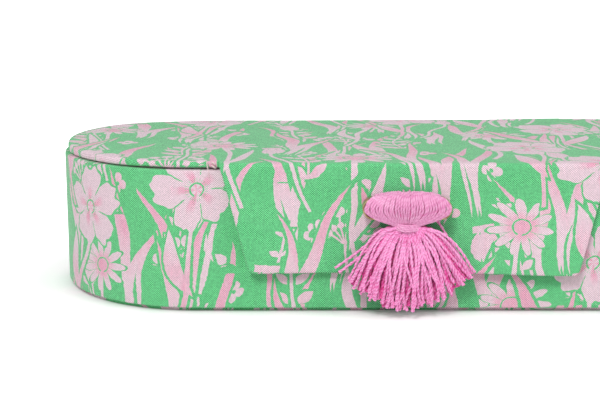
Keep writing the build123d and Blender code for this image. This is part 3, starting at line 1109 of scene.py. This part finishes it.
def flap_warp(x, level):
    """How far the flap stands forward at its lower corners, and how low its right one hangs."""
    lower = eased(FLAP_HIGH - level, WARP_START, FLAP_HIGH - FLAP_LOW)
    lift = lower * (
        FLAP_LEFT_LIFT * eased(-x, LEFT_WARP_START, FLAP_HALF_FOOT)
        + FLAP_RIGHT_LIFT * eased(x, 0, FLAP_HALF_FOOT))
    return lift, FLAP_RIGHT_DROP * lower * eased(x, RIGHT_DROP_START, FLAP_HALF_FOOT)


# The flap's grid: lines close together near its edges, and evenly spaced between
EDGE_LINES = (0, 0.06, 0.18, 0.36, 0.6)
EDGE_ROW = 1.5
TOP_LINES = (2.0, 1.3, 1.0, 0.75, 0.5, 0.3, 0.12, 0)
FLAP_MARGIN = 2.0
FLAP_ROWS = 9
FLAP_COLUMNS = 24
BOW_ZONE = 8.0


def flap_columns(half):
    """The places across the flap where its grid's lines stand."""
    inner = half - EDGE_ROW
    columns = [-half + line for line in EDGE_LINES]
    columns += [-inner + 2 * inner * k / FLAP_COLUMNS for k in range(FLAP_COLUMNS + 1)]
    return columns + [half - line for line in reversed(EDGE_LINES)]


def flap_levels(foot, top):
    """The levels of the grid's lines from the flap's foot to its top."""
    rise = (top - foot - 2 * FLAP_MARGIN) / FLAP_ROWS
    levels = [foot + line for line in (*EDGE_LINES, EDGE_ROW)]
    levels += [foot + FLAP_MARGIN + rise * row for row in range(1, FLAP_ROWS)]
    return levels + [top - line for line in TOP_LINES]


def flap_layer(name, inset, back, face, rounds, uneven, finish):
    """One layer of the flap: a trapezoid with rounded edges, an inset within the flap's.
    rounds holds the radius round its sides and foot, and the one along its top."""
    bm = bmesh.new()
    layer = bm.loops.layers.uv.new(CLOTH_MAP)
    foot, top = FLAP_LOW + inset, FLAP_HIGH - inset
    sides = []
    for front in (True, False):
        rows = []
        for level in flap_levels(foot, top):
            half = flap_half_width(level) - inset
            row = []
            for x in flap_columns(half):
                edge = min(level - foot, half - abs(x))
                fall = max(edge_fall(edge, rounds[0]), edge_fall(top - level, rounds[1]))
                bow = noise.noise(Vector((x, level, FLAP_SEED)) * FLAP_UNEVEN_SCALE) * uneven
                bow *= max(min(edge / BOW_ZONE, (top - level - FLAP_MARGIN) / BOW_ZONE, 1), 0)
                lift, drop = flap_warp(x, level)
                depth = face - fall + bow if front else back + fall
                spot = Vector((x, -depth - lift, level - drop))
                up = level - FLAP_HIGH - CREASE_REACH + fall * FLAP_PRINT_SHARE
                row.append((bm.verts.new(spot * MM), (x, up)))
            rows.append(row)
        sides.append(rows)
    slab_faces(bm, layer, *sides)
    bmesh.ops.remove_doubles(bm, verts=bm.verts, dist=MERGE * MM)
    return mesh_piece(bm, name, finish)


def build_flap(cloth, lining, board, nickel):
    """The flap: its cloth, the board and magnets inside, and the lining on its back."""
    outside = flap_layer(
        "flap_cloth", 0, FLAP_BACK, FLAP_FACE, (FLAP_EDGE_ROUND, FLAP_TOP_ROUND),
        FLAP_UNEVEN, cloth)
    put(outside, "flap", "flap_cover")
    card = flap_layer(
        "flap_card", CARD_INSET, FLAP_BACK + CARD_UNDER, FLAP_FACE - CARD_UNDER, CARD_ROUNDS,
        0, board)
    put(card, "flap", "flap_board")
    panel = flap_layer(
        "flap_lining_panel", FLAP_TURN_IN, FLAP_BACK - PANEL_PROUD, FLAP_BACK + PANEL_SINK,
        PANEL_ROUNDS, 0, lining)
    put(panel, "flap", "flap_lining")

    bm = bmesh.new()
    size = Matrix.Diagonal((MAGNET_SIZE * MM, MAGNET_THICK * MM, MAGNET_SIZE * MM, 1))
    for x in (-MAGNET_SPREAD, MAGNET_SPREAD):
        lift, drop = flap_warp(x, MAGNET_LEVEL)
        place = Vector((x, -(FLAP_BACK + FLAP_FACE) / 2 - lift, MAGNET_LEVEL - drop))
        bmesh.ops.create_cube(bm, size=1, matrix=Matrix.Translation(place * MM) @ size)
    bmesh.ops.bevel(
        bm, geom=list(bm.edges), offset=MAGNET_EDGE * MM, segments=2, affect="EDGES",
        profile=0.5)
    magnets = mesh_piece(bm, "flap_magnet_plates", nickel)
    put(magnets, "flap", "flap_magnets")


def build_crease(cloth):
    """The lid's cloth where it runs over the front edge and bends down to the flap."""
    top, face = LID_TOP + CREASE_LIFT, FLAP_FACE + CREASE_LIFT
    places = rounded_path(
        [(-CREASE_START, top), (-face, top), (-face, CREASE_END)], [CREASE_ROUND])
    path = [(y, z, run, flap_half_width(min(z, FLAP_HIGH))) for y, z, run in places]
    crease = strip(
        "flap_crease_cloth", path, lambda x, run: (x, -CREASE_START - run), cloth)
    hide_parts("flap_hinge_cloth")
    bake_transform(crease)


def build_back_hinge(cloth):
    """The cloth strip down the back, from the lid over the crease to the wall."""
    top = LID_TOP + CREASE_LIFT
    corners = [
        (BACK_START, top), (BACK_FACE, top), *((BACK_FACE, level) for level in BACK_LEVELS),
        (BACK_FACE, BACK_LOW)]
    places = rounded_path(corners, [BACK_ROUND] + [0] * len(BACK_LEVELS))
    path = [
        (y, z, run, cornered(BACK_HALF, BACK_CORNER, z - BACK_LOW)) for y, z, run in places]
    for step in BACK_CORNER_STEPS:
        half = cornered(BACK_HALF, BACK_CORNER, step)
        path.insert(-1, (BACK_FACE, BACK_LOW + step, path[-1][2] - step, half))
    hinge = strip(
        "back_hinge_strip", path, lambda x, run: (x, BACK_START + run), cloth,
        thickness=-CLOTH, rise=lid_sag)
    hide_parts("back_hinge_cloth", "lid_hinge_cloth")
    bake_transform(hinge)


# The turned-in cloth's frayed end, beside the flap's left corner: a fold, tufts, a loose
# thread, each with its radius
FRAY = (
    (0.15, ((-54.0, -39.4, 40.75), (-54.05, -39.85, 40.2), (-53.9, -39.95, 39.2),
            (-53.7, -39.85, 38.3))),
    (0.2, ((-52.8, -39.6, 40.45), (-52.4, -39.95, 40.3), (-52.0, -39.9, 39.95))),
    (0.26, ((-52.9, -39.7, 39.6), (-52.3, -39.8, 39.3), (-51.8, -39.7, 38.9))),
    (0.09, ((-53.7, -39.9, 38.5), (-53.5, -40.65, 37.9), (-53.6, -40.68, 37.0),
            (-53.4, -40.64, 36.0))),
)


def build_fray(cotton):
    """Loose threads where the lid's cloth was cut to make the flap."""
    for number, (radius, spots) in enumerate(FRAY, 1):
        line = [Vector(spot) for spot in spots]
        fray = threads(
            f"lid_fray_{number}", [line], cotton, radius, pitch=1.0, lobe=0.15, step=0.12)
        put(fray, "lid", "lid_cover")


# The tassel: places are across and up from the ring's middle, and forward from the box's centre

TASSEL_X = -2.2
RING_HALF = 11.5
RING_HALF_HEIGHT = 2.8
RING_WALL = 0.45
RING_BACK = 43.9
RING_FRONT = 47.5
RING_LEVEL = 29.6
RING_EDGE = 0.16


def tassel_spot(across, forward, level):
    """A place on the tassel, in the box's axes."""
    return Vector((TASSEL_X + across, -forward, RING_LEVEL + level))


def stood_up(spot, out, inset):
    """Stands a flat obround upright in front of the flap: its y becomes the height."""
    return tassel_spot(spot.x, spot.z, spot.y)


def build_ring(brass):
    """The oval brass band that the head is wound on."""
    stations = obround_stations(
        RING_HALF - RING_HALF_HEIGHT, RING_HALF_HEIGHT, side_steps=10, end_steps=28)
    path = [
        (RING_WALL / 2, RING_BACK), (0, RING_BACK), (0, RING_FRONT),
        (RING_WALL, RING_FRONT), (RING_WALL, RING_BACK), (RING_WALL / 2, RING_BACK)]
    ring = skin(
        "tassel_band", stations, rounded_path(path, [RING_EDGE] * 4)[:-1], wrapped_place,
        brass, closed=True, shape=stood_up)
    put(ring, "tassel", "tassel_ring")


def band_height(across):
    """Half the height of the brass band at a distance from its middle."""
    beyond = max(abs(across) - (RING_HALF - RING_HALF_HEIGHT), 0)
    return math.sqrt(max(RING_HALF_HEIGHT ** 2 - beyond ** 2, 0))


# The head's winding, up its back and down its front: level, half width and how far forward
HEAD_BACK = ((-4.6, 2.4, 44.9), (-3.1, 6.6, 43.85), (0, 9.0, 43.65))
HEAD_FRONT = (
    (3.0, 8.8, 48.0), (2.2, 9.9, 48.5), (1.2, 10.55, 48.8), (0.4, 10.85, 48.95),
    (-0.5, 10.65, 48.9), (-1.3, 9.9, 48.7), (-2.1, 8.7, 48.4), (-2.9, 7.1, 48.1),
    (-3.5, 5.5, 47.8), (-4.1, 3.9, 47.5), (-4.7, 3.0, 47.2), (-5.5, 2.7, 47.0),
)
HEAD_TOP_HALF = 8.1
HEAD_RISE = 1.3
HEAD_SIDE_FALL = 0.8
HEAD_SIDE_FLATTER = 0.12
HEAD_THREADS = 32
# Where a thread bends over the band: below its top at the back, behind and before its crest
BEND_TUCK = 0.1
BEND_BACK, BEND_BACK_DIP = 1.3, 0.15
BEND_FRONT, BEND_FRONT_DIP = 1, 0.45
BEND_SPREAD = 1.01
# How much of the crest's height the front's upper levels share, and from which level
CREST_SHARE = 0.4
CREST_REST = 0.2
CREST_FROM = 2
# How uneven the head's threads lie: at the crest, forward, across, and along the band
CREST_STRAY = (-0.08, 0.1)
PROUD_STRAY = 0.08
ACROSS_STRAY = 0.07
FULL_WIDTH = 8
GAP_STRAY = 0.3
# Where along itself a head thread starts to thin, and by how much
THIN_FROM = 0.62
THIN_BY = 0.5
# The two tacking stitches, and how they draw the head in
STITCH_SIDES = (-0.8, 0.8)
NICK_HALF = 0.45
NICK = 0.4
# The stuffing inside the head
CORE_HALF = 9.6
CORE_HALF_HEIGHT = 2.9
CORE_FRONT = 48.5
CORE_ROUNDS = (0.6, 1.4)


def head_line(share):
    """One turn of the winding: up behind the band, over it and down the front to the neck."""
    outer = abs(share)
    top_x = share * HEAD_TOP_HALF
    over = band_height(top_x)
    nick = NICK * sum(math.exp(-((top_x - side) / NICK_HALF) ** 2) for side in STITCH_SIDES)
    rise = over + HEAD_RISE - HEAD_SIDE_FALL * outer ** 3 + random.uniform(*CREST_STRAY) - nick
    proud = random.uniform(-PROUD_STRAY, PROUD_STRAY)
    line = [tassel_spot(share * half, forward, level) for level, half, forward in HEAD_BACK]
    line += [
        tassel_spot(top_x, RING_BACK, over - BEND_TUCK),
        tassel_spot(top_x, RING_BACK + BEND_BACK, rise - BEND_BACK_DIP),
        tassel_spot(top_x, RING_FRONT - BEND_FRONT, rise),
        tassel_spot(top_x * BEND_SPREAD, RING_FRONT, rise - BEND_FRONT_DIP - nick),
    ]
    flat = 1 - HEAD_SIDE_FLATTER * outer ** 4
    for level, half_width, forward in HEAD_FRONT:
        lift = CREST_SHARE * (rise - over - CREST_REST) if outer < 1 else 0
        lift *= max(level - CREST_FROM, 0)
        stray = random.uniform(-ACROSS_STRAY, ACROSS_STRAY)
        across = share * half_width + stray * min(half_width / FULL_WIDTH, 1)
        line.append(tassel_spot(
            across, RING_FRONT + (forward - RING_FRONT) * flat + proud, level + lift))
    return line


def narrowed(share):
    """A head thread's relative width, which shrinks where the threads crowd at the neck."""
    return 1 - THIN_BY * max(share - THIN_FROM, 0) / (1 - THIN_FROM)


def build_head(cotton, stuffing):
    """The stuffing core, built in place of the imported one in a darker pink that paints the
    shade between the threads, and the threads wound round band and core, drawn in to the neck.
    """
    stations = obround_stations(
        CORE_HALF - CORE_HALF_HEIGHT, CORE_HALF_HEIGHT, side_steps=10, end_steps=24)
    back = RING_BACK + 0.2
    path = [
        (CORE_HALF_HEIGHT, back), (0, back), (0, CORE_FRONT), (CORE_HALF_HEIGHT, CORE_FRONT)]
    core = skin(
        "tassel_head_stuffing", stations, rounded_path(path, CORE_ROUNDS), wrapped_place,
        stuffing, shape=stood_up, map_name=THREAD_MAP)
    put(core, "tassel", "tassel_head_core")

    lines = []
    for number in range(HEAD_THREADS):
        share = 2 * number / (HEAD_THREADS - 1) - 1
        share += random.uniform(-GAP_STRAY, GAP_STRAY) / HEAD_THREADS
        lines.append(head_line(max(-1, min(1, share))))
    head = threads(
        "tassel_head_threads", lines, cotton, radius=0.365, pitch=2.2, lobe=0.08,
        width_at=narrowed)
    put(head, "tassel", "tassel_head_winding")


# The neck's binding
NECK_TURNS = 4
NECK_STEPS = 16
NECK_TOP = -3.85
NECK_DROP = 0.46
NECK_HALF = 3.2
NECK_DEPTH = 2.05
NECK_MIDDLE = 46.2
NECK_BACK_LIFT = 0.3
NECK_FRONT_DIP = 0.45
NECK_JITTER = 0.05


def neck_line():
    """A thread wound round the oval neck, a little lower at each turn and at the front."""
    points = []
    for step in range(NECK_TURNS * NECK_STEPS + 1):
        turn = step / NECK_STEPS
        angle = math.pi * (0.5 + 2 * turn)
        level = NECK_TOP + NECK_BACK_LIFT - NECK_DROP * turn
        level += random.uniform(-NECK_JITTER, NECK_JITTER)
        level -= NECK_FRONT_DIP * max(-math.sin(angle), 0)
        points.append(tassel_spot(
            NECK_HALF * math.cos(angle), NECK_MIDDLE - NECK_DEPTH * math.sin(angle), level))
    return points


def build_neck(cotton):
    """The thread that binds the neck, wound four times round."""
    binding = threads(
        "tassel_neck_thread", [neck_line()], cotton, radius=0.29, pitch=1.1, lobe=0.07,
        step=0.25)
    put(binding, "tassel", "tassel_neck_binding")


# How a skirt strand goes out and down, as shares of its spread and its fall
OUT_SHARES = (0, 0.18, 0.36, 0.5, 0.64, 0.8, 0.92, 1)
FALL_SHARES = (0, 0.035, 0.1, 0.22, 0.4, 0.66, 0.88, 1)
SKIRT_START = -5.2
SKIRT_TIP = -26.5
PER_ROW = 19
# Each half of the fan: how far it spreads, and how much higher its last strand's tip is
LEFT_FAN = (15.3, 7.9)
RIGHT_FAN = (17.6, 9.6)
# Where a strand leaves the neck, how much nearer the middle and further forward each row
# starts, and how far forward its tip lies: less towards the sides of the fan
ROOT_HALF = 2.9
ROOT_NARROWS = 1.2
ROOT_LAYER = 0.85
TIP_FORWARD = 46.6
TIP_LAYER = 1.65
TIP_SIDE_LAYER = 0.6
TIP_SETBACK = 0.8
# How far a strand may stray from its place in the fan
END_STRAY = 2.7
ROOT_STRAY = 0.5
DEPTH_STRAY = 0.25
SIDE_STRAY = 0.06
TIP_STRAY = (-0.6, 1.4)
LATE_STRAY = (-0.08, 0.2)
WAVE = 1.1
WAVE_BENDS = 1.7
VEER = 2.1
JITTER = 0.12
# How much less the strands stray, and their tips vary, at the sides of the fan
SIDE_TIDIER = 0.7
TIP_TIDIER = 0.5
# How a strand bows: its start higher at the sides, its arch, its bulge and how soon it is forward
SIDE_START = 0.5
MIDDLE_ARCH = 0.25
SIDE_ARCH = 0.9
BULGE = 0.5
FORWARD_RATE = 1.6
# Where a strand begins inside the neck: a share of its root's place across, and a height above
TUCK_SHARE = 0.9
TUCK_UP = 1.2
# How far each row is moved along, as a share of a gap, and how much lower its tips are
ROW_SHIFT = 0.27
ROW_DROP = 0.2
# Where along itself a strand starts to fray, and how much wider it ends
FRAY_FROM = 0.94
FRAY_WIDER = 0.22
# The skirt's two parts: name, rows from back to front, the first strand's shift as a share
# of a gap, the strands' radius, and how much of the fan they fill
SKIRT_FRONT = ("tassel_skirt_strands", (0.2, 0.5, 0.8, 1.1), 0.1, 0.335, 1)
SKIRT_UNDER = ("tassel_skirt_under_strands", (-1.0, -0.7, -0.4, -0.1), 0.6, 0.45, 0.9)
# The strands that have come away from the fan and lie over the flap by themselves
STRAYS = (
    ((-2.6, 46.0, -4.4), (-5.0, 46.3, -5.6), (-8.9, 45.6, -8.6), (-13.5, 44.9, -12.6),
     (-18.4, 44.5, -16.3)),
    ((-2.6, 46.5, -4.6), (-4.8, 46.9, -6.1), (-9.0, 46.2, -9.9), (-13.2, 45.4, -14.0),
     (-17.4, 44.9, -17.4)),
    ((3.0, 45.2, -2.0), (6.6, 44.6, -2.6), (8.4, 44.6, -4.2), (10.6, 44.7, -7.7),
     (13.4, 44.9, -12.0), (15.5, 45.0, -15.1)),
)


def strand_line(side, row, spread, tip_level):
    """One skirt strand from inside the neck to its cut end: out first, then down. side is
    its place in the fan, from -1 to 1, and row how far forward it lies."""
    outer = abs(side)
    loose = 1 - SIDE_TIDIER * side * side
    end_x = side * spread + random.uniform(-END_STRAY, END_STRAY) * loose
    root_x = side * (ROOT_HALF - ROOT_NARROWS * max(row, 0))
    root_x += random.uniform(-ROOT_STRAY, ROOT_STRAY) * loose
    root_fore = NECK_MIDDLE + row * ROOT_LAYER
    end_fore = TIP_FORWARD + row * (TIP_LAYER - TIP_SIDE_LAYER * outer) - TIP_SETBACK * side ** 2
    end_fore += random.uniform(-DEPTH_STRAY, DEPTH_STRAY) * loose
    start = SKIRT_START + SIDE_START * side * side
    wave = random.uniform(-WAVE, WAVE) * loose
    veer = random.uniform(-VEER, VEER) * loose
    late = random.uniform(*LATE_STRAY)
    arch = min(MIDDLE_ARCH + SIDE_ARCH * outer ** 1.5, 1) if row > 0 else 1
    points = [tassel_spot(root_x * TUCK_SHARE, root_fore, start + TUCK_UP)]
    for out, fall in zip(OUT_SHARES, FALL_SHARES):
        sway = wave * math.sin(fall * math.pi * WAVE_BENDS) + veer * math.sin(fall * math.pi)
        out = arch * out ** (1 + late) + (1 - arch) * fall ** 0.85
        bulge = BULGE * math.sin(out * math.pi) * (1 - outer)
        bulge += random.uniform(-JITTER, JITTER)
        points.append(tassel_spot(
            root_x + (end_x - root_x) * out + sway,
            root_fore + (end_fore - root_fore) * min(fall * FORWARD_RATE, 1) + bulge,
            start + (tip_level - start) * fall))
    return points


def frayed(share):
    """A strand's relative width: its cut end opens out a little."""
    return 1 + FRAY_WIDER * max(share - FRAY_FROM, 0) / (1 - FRAY_FROM)


def build_skirt(part, cotton, strays=()):
    """One part of the fanned strands, their cut ends less uneven towards the sides."""
    name, rows, first, radius, reach = part
    lines = []
    for number, row in enumerate(rows):
        for place in range(PER_ROW):
            side = 2 * (place + ROW_SHIFT * number + first) / PER_ROW - 1
            side += random.uniform(-SIDE_STRAY, SIDE_STRAY)
            side = max(-1, min(1, side)) * reach
            spread, lift = RIGHT_FAN if side > 0 else LEFT_FAN
            tip = SKIRT_TIP + lift * abs(side) ** 1.8
            tip += random.uniform(*TIP_STRAY) * (1 - TIP_TIDIER * abs(side)) - ROW_DROP * row
            lines.append(strand_line(side, row, spread, tip))
    lines += [[tassel_spot(*spot) for spot in path] for path in strays]
    skirt = threads(
        name, lines, cotton, radius, PLY_PITCH, lobe=0.24, width_at=frayed, step=0.35)
    put(skirt, "tassel", "tassel_skirt")


# A tacking stitch: the share of its side, forward and level of each point
STITCH_PATH = ((1, 43.0, 4.1), (1, 44.6, 4.1), (0.95, 46.4, 3.85), (0.9, 47.6, 3.1),
               (0.8, 48.0, 2.5))


def build_stitch(cotton):
    """Two short tacking stitches over the top of the head, drawn down into it."""
    lines = [
        [tassel_spot(side * share, forward, level) for share, forward, level in STITCH_PATH]
        for side in STITCH_SIDES]
    stitch = threads(
        "tassel_stitch_thread", lines, cotton, radius=0.2, pitch=0.8, lobe=0.1, step=0.2)
    put(stitch, "tassel", "tassel_stitch")


# Stage

WORLD_LIGHT = 0.42
FLOOR_REACH = 6.0
FLOOR_WHITE = (0.88, 0.88, 0.88)
# The floor's glow, as the camera sees it: the first value beside the box rises to the second
# over FLOOR_NEAR and to white over FLOOR_FAR, both measured from the box's centre line. The
# weaker glow beside the box paints shade round its foot, on top of its real shadow.
FLOOR_GLOW = (0.08, 0.27)
FLOOR_NEAR = (38.5, 46.0)
FLOOR_FAR = (44.0, 80.0)
LAMPS = (
    # name, place, size, power
    ("key_lamp", (-0.35, -1.08, 1.12), 0.5, 14.0),
    ("side_lamp", (0.9, -0.5, 0.8), 0.6, 3.2),
)
LAMP_AIM = Vector((0, 0, 0.02))
CAMERA_PLACE = (-0.0297751, -0.3588933, 0.0957837)
CAMERA_PITCH = 0.2018879
CAMERA_LENS = 74.53


def build_floor():
    """A plain pale floor that looks white away from the object's shadow; its glow is weaker
    beside the box, which paints shade round the box's foot on top of that shadow.
    """
    mesh = bpy.data.meshes.new("studio_floor")
    corners = ((-1, -1), (1, -1), (1, 1), (-1, 1))
    mesh.from_pydata(
        [(x * FLOOR_REACH, y * FLOOR_REACH, 0) for x, y in corners], [], [(0, 1, 2, 3)])
    floor = bpy.data.objects.new("studio_floor", mesh)
    bpy.context.collection.objects.link(floor)
    material, tree, shader = new_material("studio_floor")
    feed(shader.inputs["Base Color"], FLOOR_WHITE)
    feed(shader.inputs["Roughness"], 0.9)
    feed(shader.inputs["Specular IOR Level"], 0.0)
    x, y = split(object_place(tree))
    away = length(most(abs(x) - HALF_RUN, 0.0), y)
    near, far = FLOOR_GLOW
    # less glow next to the box: painted shade round its foot
    glow = near + (far - near) * ramp(away, *FLOOR_NEAR) + (1 - far) * ramp(away, *FLOOR_FAR)
    seen = Field(add_node(tree, "LightPath", {}).outputs["Is Camera Ray"])
    white = add_node(tree, "Emission", {"Color": (1, 1, 1), "Strength": seen * glow})
    both = add_node(tree, "AddShader", {0: shader.outputs[0], 1: white.outputs[0]})
    feed(tree.nodes["Material Output"].inputs["Surface"], both.outputs[0])
    mesh.materials.append(material)


def build_studio():
    """A white studio that lights the object softly, and two soft lamps."""
    world = bpy.data.worlds.new("studio")
    bpy.context.scene.world = world
    world.use_nodes = True
    tree = world.node_tree
    back = tree.nodes["Background"]
    rays = add_node(tree, "LightPath", {}).outputs
    shown = most(*(
        Field(rays[f"Is {kind} Ray"]) for kind in ("Camera", "Glossy", "Transmission")))
    feed(back.inputs["Color"], (1, 1, 1))
    feed(back.inputs["Strength"], shown * (1 - WORLD_LIGHT) + WORLD_LIGHT)

    for name, place, size, power in LAMPS:
        light = bpy.data.lights.new(name, "AREA")
        light.shape = "DISK"
        light.size = size
        light.energy = power
        lamp = bpy.data.objects.new(name, light)
        lamp.location = place
        lamp.rotation_mode = "QUATERNION"
        lamp.rotation_quaternion = (LAMP_AIM - Vector(place)).to_track_quat("-Z", "Y")
        bpy.context.collection.objects.link(lamp)


def build_camera():
    """The photograph's camera, fitted to the box's rim, foot, end and flap."""
    data = bpy.data.cameras.new("photo_camera")
    data.sensor_fit = "HORIZONTAL"
    data.sensor_width = 36
    data.lens = CAMERA_LENS
    data.clip_start = 0.01
    camera = bpy.data.objects.new("photo_camera", data)
    camera.location = CAMERA_PLACE
    camera.rotation_euler = (math.pi / 2 - CAMERA_PITCH, 0, 0)
    bpy.context.collection.objects.link(camera)
    bpy.context.scene.camera = camera


def give_material(finish, *nodes):
    """Gives CAD pieces that stay, hidden inside the others, a better material."""
    for node in nodes:
        for slot in bpy.data.objects[node].material_slots:
            slot.material = finish[0]


def main():
    weave = plain_weave()
    cloth = printed_cloth(weave, flower_print())
    lining = lining_cotton(weave)
    ply = plied_thread()
    skirt, wound, loose, under, deep = (plied_cotton(ply, *cotton) for cotton in COTTONS)

    outline = obround_stations(HALF_RUN, HALF_DEPTH, SIDE_STEPS, END_STEPS)
    build_wall(outline, cloth)
    build_foot(outline, cloth)
    build_lid(outline, cloth)
    build_linings(outline, lining)
    build_pad(outline, lining)
    board, nickel = grey_board(), magnet_nickel()
    build_flap(cloth, lining, board, nickel)
    build_crease(cloth)
    build_back_hinge(cloth)
    build_fray(loose)
    build_ring(ring_brass())
    # the head's stuffing takes the under strands' darker cotton: painted shade between the head's
    # threads
    build_head(wound, under)
    build_neck(wound)
    build_skirt(SKIRT_FRONT, skirt, STRAYS)
    # the under strands' darker, redder cotton paints the shade in the gaps between the front
    # strands
    build_skirt(SKIRT_UNDER, under)
    # the stitches' cotton has grooves in the darkest shade pink: painted shade where they sink
    # into the head
    build_stitch(deep)
    give_material(board, "base_panel_card", "wall_board", "floor_board", "lid_board")
    give_material(nickel, "wall_magnets")
    build_floor()
    build_studio()
    build_camera()
    bpy.context.scene.view_settings.view_transform = "Standard"


main()
